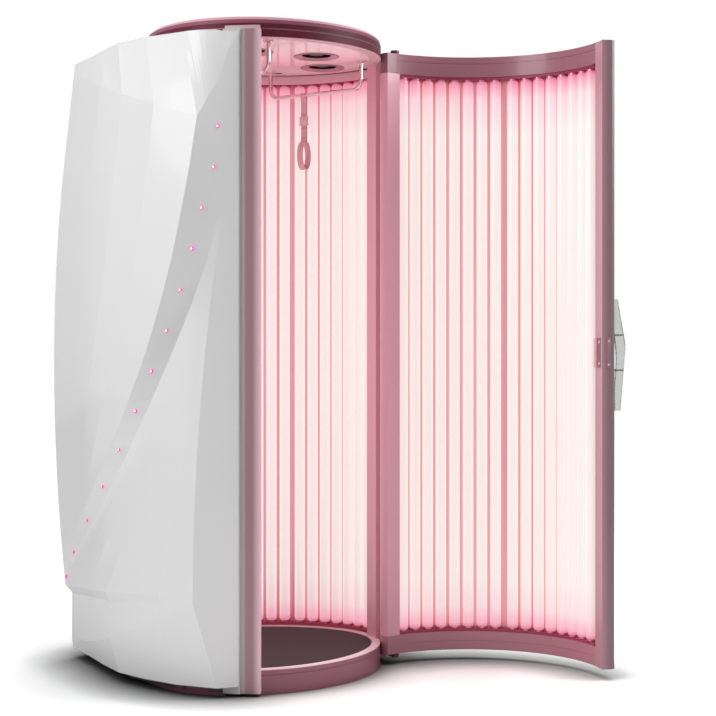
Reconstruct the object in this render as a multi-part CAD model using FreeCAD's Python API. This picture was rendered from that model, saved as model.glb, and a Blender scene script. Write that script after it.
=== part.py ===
import FreeCAD, Part
import math
import os

# Vertical tanning booth, millimetres. The origin is on the floor under the axis of the lamp circle.
# +X points to the hinge side, +Y to the back, +Z up. The doorway faces -Y and the door stands open.
# Angles are measured at the axis from the front (-Y) towards the hinge side (+X).

# ---- walls, gaps and fits ------------------------------------------------------------------------
SHEET = 1.5
PANEL = 4.0
POST_WALL = 3.0
SEAT_GAP = 0.3
CLOSE_GAP = 0.5
RUN_FIT = 0.08

# ---- heights -----------------------------------------------------------------------------------
FOOT_H = 12.0
BASE_TOP = 35.0
PLATFORM_TOP = 81.0
LAMP_FOOT_H = 11.0
CEILING_Z = 2107.0
FASCIA_H = 31.0
SHELL_RISE = 10.0
POST_RISE = 10.0
POST_Z0 = 11.0
POST_CAP_H = 12.0
DOOR_Z0 = 37.0
DOOR_RISE = 10.0
HEADER_H = 70.0
SILL_H = 64.0
HOLDER_H = 9.0
CABIN_LAMP_Z0 = PLATFORM_TOP + LAMP_FOOT_H
CABIN_LAMP_Z1 = CEILING_Z - FASCIA_H
SHELL_TOP = CEILING_Z + SHELL_RISE
POST_TOP = SHELL_TOP + POST_RISE
DOOR_Z1 = POST_TOP + DOOR_RISE
SILL_Z1 = DOOR_Z0 + SILL_H
HEADER_Z0 = DOOR_Z1 - HEADER_H

# ---- lamps -------------------------------------------------------------------------------------
LAMP_DIA = 38.0
LAMP_WALL = 0.9
LAMP_RING_R = 453.7
LAMP_PITCH = 6.2
LAMP_GROUP = 8
CABIN_GROUP_STARTS = (72.3, 122.9)
DOOR_GROUP_STARTS = (-45.6, 5.6)
LAMP_BACK_GAP = 1.5
HOLDER_LIP = 2.0
HOLDER_START_A = 2.9
REFLECTOR_R0 = LAMP_RING_R + LAMP_DIA / 2 + LAMP_BACK_GAP
HOLDER_R0 = LAMP_RING_R - LAMP_DIA / 2 + HOLDER_LIP
HOLDER_R1 = REFLECTOR_R0 - HOLDER_LIP
DOOR_HOLDER_HALF_W = LAMP_DIA / 2 - 2 * HOLDER_LIP

# ---- posts, door leaf and hinge ------------------------------------------------------------------
POST_R0 = 400.0
JAMB_R1 = 431.5
POST_R1 = 438.5
JAMB_A0 = 53.9
LEAF_FREE_A = 62.1
LEAF_FREE_GAP_A = 0.5
HINGE_POST_A = 60.6
POST_A1 = 70.0
WALL_A0 = POST_A1 + 1.0
CAP_INSET = 3.0
LEAF_R0 = JAMB_R1 + CLOSE_GAP
LEAF_THICK = 48.0
LEAF_R1 = LEAF_R0 + LEAF_THICK
LEAF_HINGE_A = 52.5
LEAF_FILLET = 18.0
SKIN_T = 3.0
RAIL_R1 = LEAF_R1 - SKIN_T
SEAM_W = 2.0
SEAM_DEPTH = 1.5
HEADER_SEAM_DROP = 24.0
SILL_SEAM_RISE = 31.0
HINGE_R = 451.3
HINGE_A = 53.45
HINGE_PIN_R = 6.0
HINGE_PIN_L = 45.0
HINGE_HEAD_R = 15.0
HINGE_FOOT_R = 12.0
HINGE_GAP = 1.0
BRACKET_R = 14.0
BRACKET_TOP_T = 6.0
BRACKET_LOW_T = 10.0
PIN_HEAD_H = 6.0
PIN_FOOT_H = 4.0
BRACKET_SEAT_IN = 2.0
TAIL_R = 52.0
DOOR_OPEN = 108.3

# ---- latch and handle ------------------------------------------------------------------------------
LATCH_Z = (1043.0, 1143.0)
LATCH_T = 2.0
LATCH_EDGE_A = 1.4
LATCH_SCREW_R = 5.0
LATCH_SCREW_INSET = 14.0
# Side view of the handle: distance out from the door's outside, and height.
HANDLE_OUTER = ((26.0, 898.0), (45.0, 1116.0), (17.0, 1272.0))
HANDLE_INNER = ((3.0, 1272.0), (5.0, 1165.0), (13.0, 1085.0), (9.0, 995.0), (9.0, 898.0))
HANDLE_T = 12.0
HANDLE_BEND_R = 60.0
HANDLE_A = -58.0
STANDOFF_R = 3.0
STANDOFF_HEAD_R = 5.0
STANDOFF_HEAD_T = 3.0
STANDOFF_Z = (1034.0, 1152.0)

# ---- base and platform ------------------------------------------------------------------------------
FOOT_R = 19.0
FOOT_STEM_R = 9.0
FOOT_PLACES = ((-312.0, 388.0), (-170.0, 630.0))
BASE_FLANGE_T = 3.0
DOORWAY_BACK = 150.0
PLINTH_INSET = 48.0
PLINTH_WALL = 4.0
PLATFORM_RX = 439.4
PLATFORM_FRONT = 342.6
PLATE_INSET = 29.5
PLATE_GAP = 1.5
MAT_LOW = 1.0
MAT_T = 6.0
MAT_INSET = 3.0
PLATE_T = 10.0
BUFFER_H = 8.0
BUFFER_R = 16.0
BUFFER_RING_R = 250.0
BUFFER_COUNT = 8
DECK_T = 6.0
DECK_Z = PLATFORM_TOP - MAT_LOW - MAT_T - PLATE_T - BUFFER_H - DECK_T
GROOVE_RISE = 12.0
GROOVE_H = 3.0
GROOVE_DEPTH = 2.0
MOTOR_HALF_L = 80.0
MOTOR_HALF_W = 50.0
MOTOR_H = 38.0
MOTOR_FLANGE = 20.0
MOTOR_FLANGE_T = 4.0
MOTOR_SHAFT_R = 20.0
MOTOR_CAP_L = 18.0
MOTOR_WAY_GAP = 10.0

# ---- control column ----------------------------------------------------------------------------------
COLUMN_HALF_W = 80.0
COLUMN_DEPTH = 42.0
COLUMN_BEVEL = (18.0, 20.0)
BUTTON_Z = (1355.0, 1290.0)
BUTTON_R = 14.0
BUTTON_PROUD = 4.0
BUTTON_L = 12.0
COLLAR_W = 3.0
COLLAR_T = 2.0
BEZEL_HALF_W = 45.0
BEZEL_MARGIN = 47.0
BEZEL_T = 6.0

# ---- canopy and ceiling ------------------------------------------------------------------------------
CANOPY_RX = 417.4
CANOPY_FRONT = 360.5
CANOPY_RING_W = 40.0
CANOPY_WALL = 3.0
CANOPY_BANDS = ((25.0, 0.0), (3.0, 2.5), (16.0, 0.0), (12.0, 3.0))
CANOPY_BEVEL_STEPS = 3
CANOPY_BEVEL_H = 11.0
CANOPY_BEVEL_IN = 14.0
FAN_PLACES = ((90.0, -133.0), (-120.0, -15.0), (294.0, 0.0))
FAN_HOLE_R = 72.0
FAN_WALL = 3.0
FAN_H = 42.0
FAN_MOTOR_H = 14.0
FAN_ARM_W = 8.0
FAN_ARM_T = 5.0
FAN_ARMS = 3
FAN_BLADES = 7
FAN_BLADE_W = 28.0
FAN_BLADE_T = 1.8
FAN_BLADE_TILT = 32.0
FAN_HUB_R = 24.0
FAN_TIP_GAP = 4.0
FAN_RUN_GAP = 2.0
FAN_SHAFT_R = 3.0
VENT_PLACE = (300.0, 215.0)
VENT_R = 20.0

# ---- handrails and straps --------------------------------------------------------------------------
RAIL_X = 250.0
RAIL_Y = 204.0
RAIL_DROP = 99.0
RAIL_Z = CEILING_Z - RAIL_DROP
RAIL_R = 7.0
RAIL_BEND = 34.0
FLANGE_R = 19.0
FLANGE_T = 5.0
STRAP_Y = 50.0
STRAP_W = 25.0
STRAP_T = 2.2
STRAP_STEM = 165.0
STRAP_LOOP_H = 100.0
STRAP_LOOP_W = 46.0
BUCKLE_DROP = 92.0
BUCKLE_H = 32.0
BUCKLE_T = 12.0
BUCKLE_EDGE = 4.5

# ---- outer casing, left side --------------------------------------------------------------------------
# Plan of the bottom edge from the front corner to the rear corner; it swells by CASING_SWELL half way up.
CASING_WALL = 4.0
CASING_FRONT = (-393.0, -200.0)
CASING_PLAN = ((-455.0, -163.0), (-484.0, -50.0), (-484.0, 100.0), (-448.0, 290.0),
               (-375.0, 430.0), (-290.0, 590.0), (-235.0, 710.0))
TOP_PLAN = ((-434.0, -167.0), (-470.0, -112.0), (-481.0, -40.0))
CASING_SWELL = 74.0
SWELL_Z = SHELL_TOP / 2
SWELL_BELOW = SWELL_Z + 17.0
SWELL_ABOVE = SWELL_Z - 60.0
# A raised plate wraps the rear half. Its edge runs down and back, with a slanted band for the lights
# beside it. Each level: share of the casing's height, plate edge in plan, foot of the band in plan.
CASING_LEVELS = ((0.166, (-282.0, 700.0), (-297.0, 653.0)), (0.2135, (-358.0, 585.0), (-361.0, 527.0)),
                 (0.2645, (-433.0, 458.0), (-428.0, 391.0)), (0.312, (-490.0, 346.0), (-478.0, 277.0)),
                 (0.374, (-545.0, 218.0), (-517.0, 155.0)), (0.446, (-579.0, 103.0), (-530.0, 49.0)),
                 (0.5195, (-587.0, 19.0), (-519.0, -31.0)), (0.5905, (-579.0, -34.0), (-499.0, -95.0)),
                 (0.6565, (-566.0, -70.0), (-474.0, -138.0)), (0.724, (-553.0, -98.0), (-448.0, -165.0)),
                 (0.798, (-541.0, -126.0), None))
PLATE_CORNER = (-530.0, -146.0)
PLATE_PROUD = 4.0
LOWER_PROUD = 12.0
BASE_PROUD = 8.0
CREASE_PEAK = (-438.0, -171.0)
CREASE_FOOT = (-519.0, -119.0)
PEAK_Z = 0.724 * SHELL_TOP
TIP_Z0 = 0.1096 * SHELL_TOP
TIP_Z1 = 0.1238 * SHELL_TOP
TIP_SLANT = 0.0378 * SHELL_TOP
CREASE_LOW_FRONT = 0.1446 * SHELL_TOP
CREASE_LOW_REAR = 0.0354 * SHELL_TOP
CREASE_LOW_POST = 0.0236 * SHELL_TOP
CREASE_BEND = 1.6
CREASE_BOW = 12.0
CREASE_HIGH_FRONT = SHELL_TOP - 277.0
CREASE_HIGH_REAR = SHELL_TOP - 32.0
TOP_CREASE_DROPS = (5.0, 60.0, 143.0, 163.0, 179.0, 195.0, 211.0, 230.0, 252.0)
FRONT_SHARES = (0.25, 0.45, 0.52, 0.58, 0.65, 0.72, 0.8, 0.88)
TAIL_SHARES = (0.16, 0.04)
PLATE_TAIL_SHARES = (0.2, 0.4, 0.6, 0.8)
SIDE_COLUMNS = 5
PLATE_COLUMNS = 4
CORNER_ROOM = (-500.0, -400.0, -162.0, 0.0)

# ---- lights in the casing ------------------------------------------------------------------------------
LIGHT_COUNT = 13
LIGHT_R = 6.0
LIGHT_DEPTH = 4.0
LIGHT_PROUD = 1.5
LIGHT_Z0 = 0.856 * SHELL_TOP
LIGHT_Z1 = 0.139 * SHELL_TOP
LIGHT_PITCH = 0.061 * SHELL_TOP

# ---- back ----------------------------------------------------------------------------------------------
GRILLE_DROP = 417.0
GRILLE_SLOTS = 14
GRILLE_PITCH = 22.0
GRILLE_SLOT_H = 9.0
GRILLE_HALF_W = 150.0
RACK_Y = 545.0
RACK_DROP = 207.0
RACK_HALF_W = 200.0
RACK_FOLD = 40.0
BALLAST_L = 230.0
BALLAST_W = 40.0
BALLAST_T = 30.0
BALLAST_PITCH = 260.0
BALLAST_COLUMNS = 4
BALLAST_RISE = 40.0
CONTROL_BOX_H = 220.0
CONTROL_BOX_T = 58.0
CONTROL_BOX_EDGE = 30.0
GLAND_X = 150.0
GLAND_Z = 110.0
GLAND_R = 13.0
GLAND_L = 30.0
GLAND_NUT_R = 18.0
GLAND_NUT_T = 8.0
GLAND_BORE_R = 6.0

PARTS = {}


# ---- geometry helpers --------------------------------------------------------------------------------
def vec(x, y, z=0.0):
    return FreeCAD.Vector(x, y, z)


def polar(radius, angle, z=0.0):
    """Point at an angle from the front towards the hinge side."""
    turn = math.radians(angle)
    return vec(radius * math.sin(turn), -radius * math.cos(turn), z)


def arc_angle(length, radius):
    """Angle that an arc length takes at a radius."""
    return math.degrees(length / radius)


def prism(edges, z0, z1):
    """Solid over a closed outline that lies at z = 0."""
    face = Part.Face(Part.Wire(edges))
    face.translate(vec(0, 0, z0))
    return face.extrude(vec(0, 0, z1 - z0))


def sector(r0, r1, a0, a1, z0, z1):
    """Part of a ring between two radii, two angles and two heights."""
    mid = (a0 + a1) / 2
    outer = Part.Arc(polar(r1, a0), polar(r1, mid), polar(r1, a1)).toShape()
    inner = Part.Arc(polar(r0, a1), polar(r0, mid), polar(r0, a0)).toShape()
    side0 = Part.makeLine(polar(r0, a0), polar(r1, a0))
    side1 = Part.makeLine(polar(r1, a1), polar(r0, a1))
    return prism([side0, outer, side1, inner], z0, z1)


def cylinder(radius, x, y, z0, z1):
    return Part.makeCylinder(radius, z1 - z0, vec(x, y, z0))


def pin_y(radius, length, x, y, z):
    """Cylinder that runs towards the back."""
    return Part.makeCylinder(radius, length, vec(x, y, z), vec(0, 1, 0))


def box(x0, x1, y0, y1, z0, z1):
    return Part.makeBox(x1 - x0, y1 - y0, z1 - z0, vec(x0, y0, z0))


def polygon(points, z0, z1):
    """Prism over straight sides."""
    wire = Part.makePolygon([vec(*p) for p in points] + [vec(*points[0])])
    return prism(wire.Edges, z0, z1)


def disc_outline(rx, front, inset, z0, z1):
    """Round plan with a flattened front: half an ellipse in front, half a circle behind."""
    across = rx - inset
    ellipse = Part.Ellipse(vec(0, 0), across, front - inset)
    front_edge = Part.ArcOfEllipse(ellipse, math.pi, 2 * math.pi).toShape()
    back_edge = Part.ArcOfCircle(Part.Circle(vec(0, 0), vec(0, 0, 1), across), 0, math.pi).toShape()
    return prism([front_edge, back_edge], z0, z1)


def shifted(points, distance):
    """Plan points moved square to their outline, to the left of its direction when positive."""
    moved = []
    for index, (x, y) in enumerate(points):
        before = points[max(index - 1, 0)]
        after = points[min(index + 1, len(points) - 1)]
        along = vec(after[0] - before[0], after[1] - before[1])
        along.normalize()
        moved.append((x - along.y * distance, y + along.x * distance))
    return moved


def chord_points(start, end, shares):
    """Points on the straight line between two plan points."""
    return [(start[0] + (end[0] - start[0]) * k, start[1] + (end[1] - start[1]) * k) for k in shares]


def curve_points(points, count):
    """Evenly spaced points on the smooth curve through some plan points, its first point left out."""
    if len(points) == 2:
        return chord_points(points[0], points[1], [step / count for step in range(1, count + 1)])
    curve = Part.BSplineCurve()
    curve.interpolate([vec(*point) for point in points])
    return [(point.x, point.y) for point in curve.discretize(count + 1)[1:]]


def mirrored(shape):
    return shape.mirror(vec(0, 0), vec(1, 0, 0))


def swung(shape):
    """Door pieces are drawn closed and then swung open about the hinge."""
    moved = shape.copy()
    moved.rotate(polar(HINGE_R, HINGE_A), vec(0, 0, 1), DOOR_OPEN)
    return moved


def fused(shapes):
    return shapes[0].multiFuse(shapes[1:]).removeSplitter()


def largest(shape):
    return max(shape.Solids, key=lambda solid: solid.Volume)


def keep(name, *shapes):
    """Add one node of one or more solids."""
    solids = []
    for shape in shapes:
        solids.extend(shape.Solids)
    PARTS[name] = Part.makeCompound(solids)


def post_notches():
    """Room for the two cabin posts in the plates and rims that they pass."""
    r0 = POST_R0 - SEAT_GAP
    r1 = POST_R1 + 3 * SEAT_GAP
    side = arc_angle(SEAT_GAP, POST_R0) * 2
    z1 = POST_TOP + POST_CAP_H + SEAT_GAP
    left = mirrored(sector(r0, r1, JAMB_A0 - side, POST_A1 + side, 0, z1))
    right = sector(r0, r1, HINGE_POST_A - side, POST_A1 + side, 0, z1)
    return left.fuse(right)


# ---- base and platform -------------------------------------------------------------------------------
def casing_outline(level, inset, z0, z1):
    """The plan of both casings and the closed back at one level, moved inwards."""
    left = shifted([(p.x, p.y) for p in level], -inset)
    right = [(-x, y) for x, y in reversed(left)]
    return polygon(left + right, z0, z1)


def behind_doorway(shape, z0, z1):
    """Only what lies behind the front corners of the casings."""
    return shape.common(box(-2 * PLATFORM_RX, 2 * PLATFORM_RX, -DOORWAY_BACK, 2 * PLATFORM_RX, z0, z1))


def base_frame(level):
    """Flange under the casings and a set-back plinth below it."""
    flange_z = BASE_TOP - BASE_FLANGE_T
    flange = casing_outline(level, CASING_WALL, flange_z, BASE_TOP)
    plinth = casing_outline(level, PLINTH_INSET, FOOT_H, flange_z)
    room = casing_outline(level, PLINTH_INSET + PLINTH_WALL, FOOT_H + PLINTH_WALL, flange_z)
    frame = fused([flange, plinth.cut(room)])
    frame = behind_doorway(frame, FOOT_H, BASE_TOP)
    frame = frame.cut(disc_outline(PLATFORM_RX, PLATFORM_FRONT, -SEAT_GAP, 0, PLATFORM_TOP))
    keep("base_frame", largest(frame.cut(post_notches())))


def levelling_feet():
    feet = []
    for x, y in FOOT_PLACES:
        for side in (-1, 1):
            pad = cylinder(FOOT_R, side * x, y, 0, FOOT_H / 2)
            stem = cylinder(FOOT_STEM_R, side * x, y, FOOT_H / 2, FOOT_H)
            feet.append(pad.fuse(stem))
    keep("levelling_feet", *feet)


def platform():
    """Closed pan with the vibration deck, its rim and a groove round its side."""
    rim = disc_outline(PLATFORM_RX, PLATFORM_FRONT, 0, 0, PLATFORM_TOP)
    recess = disc_outline(PLATFORM_RX, PLATFORM_FRONT, PLATE_INSET, DECK_Z + DECK_T, PLATFORM_TOP)
    under = disc_outline(PLATFORM_RX, PLATFORM_FRONT, PLATE_INSET / 2, PANEL, DECK_Z)
    half_l = MOTOR_HALF_L + MOTOR_FLANGE + MOTOR_WAY_GAP
    half_w = MOTOR_HALF_W + MOTOR_FLANGE + MOTOR_WAY_GAP
    motor_way = box(-half_l, half_l, -half_w, half_w, DECK_Z - 1, PLATFORM_TOP)
    groove_z = DECK_Z + GROOVE_RISE
    groove = disc_outline(PLATFORM_RX, PLATFORM_FRONT, -1, groove_z, groove_z + GROOVE_H)
    groove = groove.cut(disc_outline(PLATFORM_RX, PLATFORM_FRONT, GROOVE_DEPTH, DECK_Z, PLATFORM_TOP))
    keep("platform_rim", rim.cut(recess).cut(under).cut(motor_way).cut(groove).cut(post_notches()))


def vibration_plate():
    """Plate and mat on rubber buffers, with the drive under the plate."""
    seat_z = DECK_Z + DECK_T + BUFFER_H
    mat_z = seat_z + PLATE_T
    inset = PLATE_INSET + PLATE_GAP
    keep("vibration_plate", disc_outline(PLATFORM_RX, PLATFORM_FRONT, inset, seat_z, mat_z))
    keep("standing_mat", disc_outline(PLATFORM_RX, PLATFORM_FRONT, inset + MAT_INSET, mat_z, mat_z + MAT_T))
    body_z = seat_z - MOTOR_FLANGE_T
    housing = box(-MOTOR_HALF_L, MOTOR_HALF_L, -MOTOR_HALF_W, MOTOR_HALF_W, body_z - MOTOR_H, body_z)
    half_l = MOTOR_HALF_L + MOTOR_FLANGE
    half_w = MOTOR_HALF_W + MOTOR_FLANGE
    flange = box(-half_l, half_l, -half_w, half_w, body_z, seat_z)
    cap_x = MOTOR_HALF_L + MOTOR_CAP_L
    caps = Part.makeCylinder(MOTOR_SHAFT_R, 2 * cap_x, vec(-cap_x, 0, body_z - MOTOR_H / 2 - 3), vec(1, 0, 0))
    keep("vibration_motor", fused([housing, flange, caps]))
    buffers = []
    for step in range(BUFFER_COUNT):
        spot = polar(BUFFER_RING_R, 360.0 / BUFFER_COUNT * (step + 0.5))
        buffers.append(cylinder(BUFFER_R, spot.x, spot.y, DECK_Z + DECK_T, seat_z - SEAT_GAP / 3))
    keep("plate_buffers", *buffers)


# ---- cabin -----------------------------------------------------------------------------------------------
def cabin_posts():
    """Hollow posts, closed on top; the left one has a lip that the door closes against."""
    jamb_end = LEAF_FREE_A + LEAF_FREE_GAP_A
    side = arc_angle(POST_WALL, POST_R0)
    room_z1 = POST_TOP - PANEL
    back = sector(POST_R0, POST_R1, jamb_end, POST_A1, POST_Z0, POST_TOP)
    jamb = sector(POST_R0, JAMB_R1, JAMB_A0, jamb_end, POST_Z0, POST_TOP)
    r0 = POST_R0 + POST_WALL
    back_room = sector(r0, POST_R1 - POST_WALL, jamb_end + side, POST_A1 - side, 0, room_z1)
    jamb_room = sector(r0, JAMB_R1 - POST_WALL, JAMB_A0 + side, POST_A1 - side, 0, room_z1)
    left = fused([back, jamb]).cut(back_room.fuse(jamb_room))
    right = sector(POST_R0, POST_R1, HINGE_POST_A, POST_A1, POST_Z0, POST_TOP)
    right = right.cut(sector(r0, POST_R1 - POST_WALL, HINGE_POST_A + side, POST_A1 - side, 0, room_z1))
    keep("post_left", mirrored(left))
    keep("post_right", right)
    cap_z1 = POST_TOP + POST_CAP_H
    cap_side = arc_angle(CAP_INSET, POST_R0)
    cap_left = sector(POST_R0 + CAP_INSET, JAMB_R1 - CAP_INSET, JAMB_A0 + cap_side, POST_A1 - cap_side,
                      POST_TOP, cap_z1)
    cap_right = sector(POST_R0 + CAP_INSET, POST_R1 - CAP_INSET, POST_A1 - 8 * cap_side, POST_A1 - cap_side,
                       POST_TOP, cap_z1)
    keep("post_caps", mirrored(cap_left), cap_right)


def lamp_angles(starts):
    return [start + LAMP_PITCH * step for start in starts for step in range(LAMP_GROUP)]


def lamp_row(angles, z0, z1):
    """Glass tubes on the lamp circle."""
    rows = []
    for angle in angles:
        spot = polar(LAMP_RING_R, angle)
        tube = cylinder(LAMP_DIA / 2, spot.x, spot.y, z0, z1)
        rows.append(tube.cut(cylinder(LAMP_DIA / 2 - LAMP_WALL, spot.x, spot.y, z0 - 1, z1 + 1)))
    return rows


def cabin_lamps():
    """Lamps round the cabin, their holders, the bright wall behind them and the fascia above."""
    right = lamp_angles(CABIN_GROUP_STARTS)
    angles = right + [-angle for angle in right]
    keep("cabin_lamps", *lamp_row(angles, CABIN_LAMP_Z0, CABIN_LAMP_Z1))
    a0 = POST_A1 + arc_angle(PANEL, HOLDER_R0)
    a1 = 360 - a0
    fascia_r1 = HOLDER_R0 - SEAT_GAP
    keep("cabin_lampholders_top", sector(HOLDER_R0, HOLDER_R1, a0, a1, CABIN_LAMP_Z1, CEILING_Z))
    keep("cabin_header", sector(fascia_r1 - PANEL, fascia_r1, a0, a1, CABIN_LAMP_Z1, CEILING_Z))
    low_r0 = PLATFORM_RX + SEAT_GAP
    keep("cabin_lampholders_bottom", sector(low_r0, HOLDER_R1, a0, a1, BASE_TOP, CABIN_LAMP_Z0))
    wall = sector(REFLECTOR_R0, REFLECTOR_R0 + SHEET, WALL_A0, 360 - WALL_A0, BASE_TOP, CEILING_Z)
    keep("cabin_reflector", wall)


def control_column():
    """Sheet column at the back between the two lamp groups, with the push buttons for the user."""
    half = COLUMN_HALF_W
    y1 = math.sqrt(REFLECTOR_R0 ** 2 - half ** 2) - SEAT_GAP
    y0 = y1 - COLUMN_DEPTH
    bevel_x, bevel_y = COLUMN_BEVEL
    outer = [(-half, y1), (-half, y0 + bevel_y), (-half + bevel_x, y0),
             (half - bevel_x, y0), (half, y0 + bevel_y), (half, y1)]
    inner = shifted(outer, SHEET)
    inner = [(inner[0][0], y1 + 1)] + inner[1:-1] + [(inner[-1][0], y1 + 1)]
    column = polygon(outer, CABIN_LAMP_Z0, CABIN_LAMP_Z1).cut(polygon(inner, CABIN_LAMP_Z0, CABIN_LAMP_Z1))
    z0 = min(BUTTON_Z) - BEZEL_MARGIN
    z1 = max(BUTTON_Z) + BEZEL_MARGIN
    window = box(-BEZEL_HALF_W, BEZEL_HALF_W, y0 - 1, y0 + 2 * SHEET, z0, z1)
    keep("control_column", column.cut(window))
    edge = BEZEL_HALF_W - SEAT_GAP
    front = y0 - BEZEL_T / 2
    bezel = box(-edge, edge, front, front + BEZEL_T, z0 + SEAT_GAP, z1 - SEAT_GAP)
    for name, z in zip(("button_start", "button_stop"), BUTTON_Z):
        bezel = bezel.cut(pin_y(BUTTON_R + RUN_FIT, 2 * BEZEL_T, 0, front - 1, z))
        stem = pin_y(BUTTON_R, BUTTON_L, 0, front - BUTTON_PROUD, z)
        collar = pin_y(BUTTON_R + COLLAR_W, COLLAR_T, 0, front + BEZEL_T + SEAT_GAP, z)
        keep(name, fused([stem, collar]))
    keep("control_bezel", bezel)


# ---- roof ------------------------------------------------------------------------------------------------
def canopy():
    """Banded rim with a bevelled top edge, hollow inside."""
    z = CEILING_Z
    bands = []
    for height, inset in CANOPY_BANDS:
        bands.append(disc_outline(CANOPY_RX, CANOPY_FRONT, inset, z, z + height))
        z += height
    inset = CANOPY_BANDS[-1][1]
    rise = CANOPY_BEVEL_H / CANOPY_BEVEL_STEPS
    for step in range(CANOPY_BEVEL_STEPS):
        inset += CANOPY_BEVEL_IN / CANOPY_BEVEL_STEPS
        bands.append(disc_outline(CANOPY_RX, CANOPY_FRONT, inset, z, z + rise))
        z += rise
    wall = inset + CANOPY_WALL
    hollow = disc_outline(CANOPY_RX, CANOPY_FRONT, wall, CEILING_Z + PANEL, z - PANEL)
    way = disc_outline(CANOPY_RX, CANOPY_FRONT, CANOPY_RING_W, CEILING_Z - 1, CEILING_Z + 2 * PANEL)
    keep("roof_canopy", largest(fused(bands).cut(hollow).cut(way).cut(post_notches())))


def ceiling():
    """Ceiling panel with round openings for the fans and a small vent."""
    z0, z1 = CEILING_Z, CEILING_Z + PANEL
    panel = disc_outline(CANOPY_RX, CANOPY_FRONT, CANOPY_RING_W + SEAT_GAP, z0, z1)
    for x, y in FAN_PLACES:
        panel = panel.cut(cylinder(FAN_HOLE_R, x, y, z0 - 1, z1 + 1))
    keep("ceiling_panel", panel.cut(cylinder(VENT_R, *VENT_PLACE, z0 - 1, z1 + 1)))


def fan_frame(x, y):
    """Ring on the ceiling panel with arms that hold the motor and its shaft."""
    z0 = CEILING_Z + PANEL
    z1 = z0 + FAN_H
    ring = cylinder(FAN_HOLE_R + FAN_WALL, x, y, z0, z1)
    pieces = [ring.cut(cylinder(FAN_HOLE_R, x, y, z0 - 1, z1 + 1))]
    pieces.append(cylinder(FAN_HUB_R - FAN_RUN_GAP, x, y, z1 - FAN_MOTOR_H, z1))
    pieces.append(cylinder(FAN_SHAFT_R, x, y, z0 + 2 * FAN_RUN_GAP + SEAT_GAP, z1 - FAN_MOTOR_H))
    for arm in range(FAN_ARMS):
        bar = box(0, FAN_HOLE_R + FAN_WALL / 2, -FAN_ARM_W / 2, FAN_ARM_W / 2, z1 - FAN_ARM_T, z1)
        bar.rotate(vec(0, 0), vec(0, 0, 1), 30 + 360.0 / FAN_ARMS * arm)
        bar.translate(vec(x, y))
        pieces.append(bar)
    return fused(pieces)


def fan_rotor(x, y):
    """Hub with twisted blades on the motor's shaft."""
    z0 = CEILING_Z + PANEL + FAN_RUN_GAP
    z1 = CEILING_Z + PANEL + FAN_H - FAN_MOTOR_H - FAN_RUN_GAP
    blades = [cylinder(FAN_HUB_R, x, y, z0, z1)]
    half_w = FAN_BLADE_W / 2
    half_t = FAN_BLADE_T / 2
    for step in range(FAN_BLADES):
        blade = box(FAN_HUB_R / 2, FAN_HOLE_R - FAN_TIP_GAP, -half_w, half_w, -half_t, half_t)
        blade.rotate(vec(0, 0), vec(1, 0, 0), FAN_BLADE_TILT)
        blade.rotate(vec(0, 0), vec(0, 0, 1), 360.0 / FAN_BLADES * step)
        blade.translate(vec(x, y, (z0 + z1) / 2))
        blades.append(blade)
    return fused(blades).cut(cylinder(FAN_SHAFT_R + RUN_FIT, x, y, z0 + FAN_RUN_GAP, z1 + 1))


def fans():
    keep("fan_frames", *[fan_frame(x, y) for x, y in FAN_PLACES])
    for index, (x, y) in enumerate(FAN_PLACES):
        keep("fan_rotor_%d" % (index + 1), fan_rotor(x, y))


# ---- handrails and hand straps -----------------------------------------------------------------------
def handrail(x):
    """Bar bent up at both ends and fixed under the ceiling."""
    top = CEILING_Z - FLANGE_T
    reach = RAIL_BEND * math.sqrt(0.5)
    corner_z = RAIL_Z + RAIL_BEND
    straight_y = RAIL_Y - RAIL_BEND
    edges = [Part.makeLine(vec(x, -straight_y, RAIL_Z), vec(x, straight_y, RAIL_Z))]
    for side in (-1, 1):
        start = vec(x, side * RAIL_Y, corner_z)
        mid = vec(x, side * (straight_y + reach), corner_z - reach)
        end = vec(x, side * straight_y, RAIL_Z)
        edges.append(Part.Arc(start, mid, end).toShape())
        edges.append(Part.makeLine(start, vec(x, side * RAIL_Y, top)))
    path = Part.Wire(Part.__sortEdges__(edges))
    section = Part.Wire(Part.makeCircle(RAIL_R, vec(x, -RAIL_Y, top), vec(0, 0, -1)))
    return path.makePipeShell([section], True, False)


def handrails():
    flanges = []
    for side, name in ((-1, "left"), (1, "right")):
        keep("handrail_" + name, handrail(side * RAIL_X))
        for end in (-1, 1):
            flanges.append(cylinder(FLANGE_R, side * RAIL_X, end * RAIL_Y, CEILING_Z - FLANGE_T, CEILING_Z))
    keep("handrail_flanges", *flanges)


def strap_outline(x, grow):
    """Eye over the bar and hand loop, as solid bodies a strap's thickness larger or as they are."""
    y0 = STRAP_Y - STRAP_W / 2
    eye = pin_y(RAIL_R + SEAT_GAP + grow, STRAP_W, x, y0, RAIL_Z)
    loop_z = RAIL_Z - STRAP_STEM - STRAP_LOOP_H / 2
    loop = Part.Ellipse(vec(0, 0), STRAP_LOOP_H / 2 + grow, STRAP_LOOP_W / 2 + grow).toShape()
    body = Part.Face(Part.Wire(loop)).extrude(vec(0, 0, STRAP_W))
    body.rotate(vec(0, 0), vec(0, 0, 1), 90)
    body.rotate(vec(0, 0), vec(1, 0, 0), 90)
    body.translate(vec(x, y0 + STRAP_W, loop_z))
    return eye, body


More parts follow.
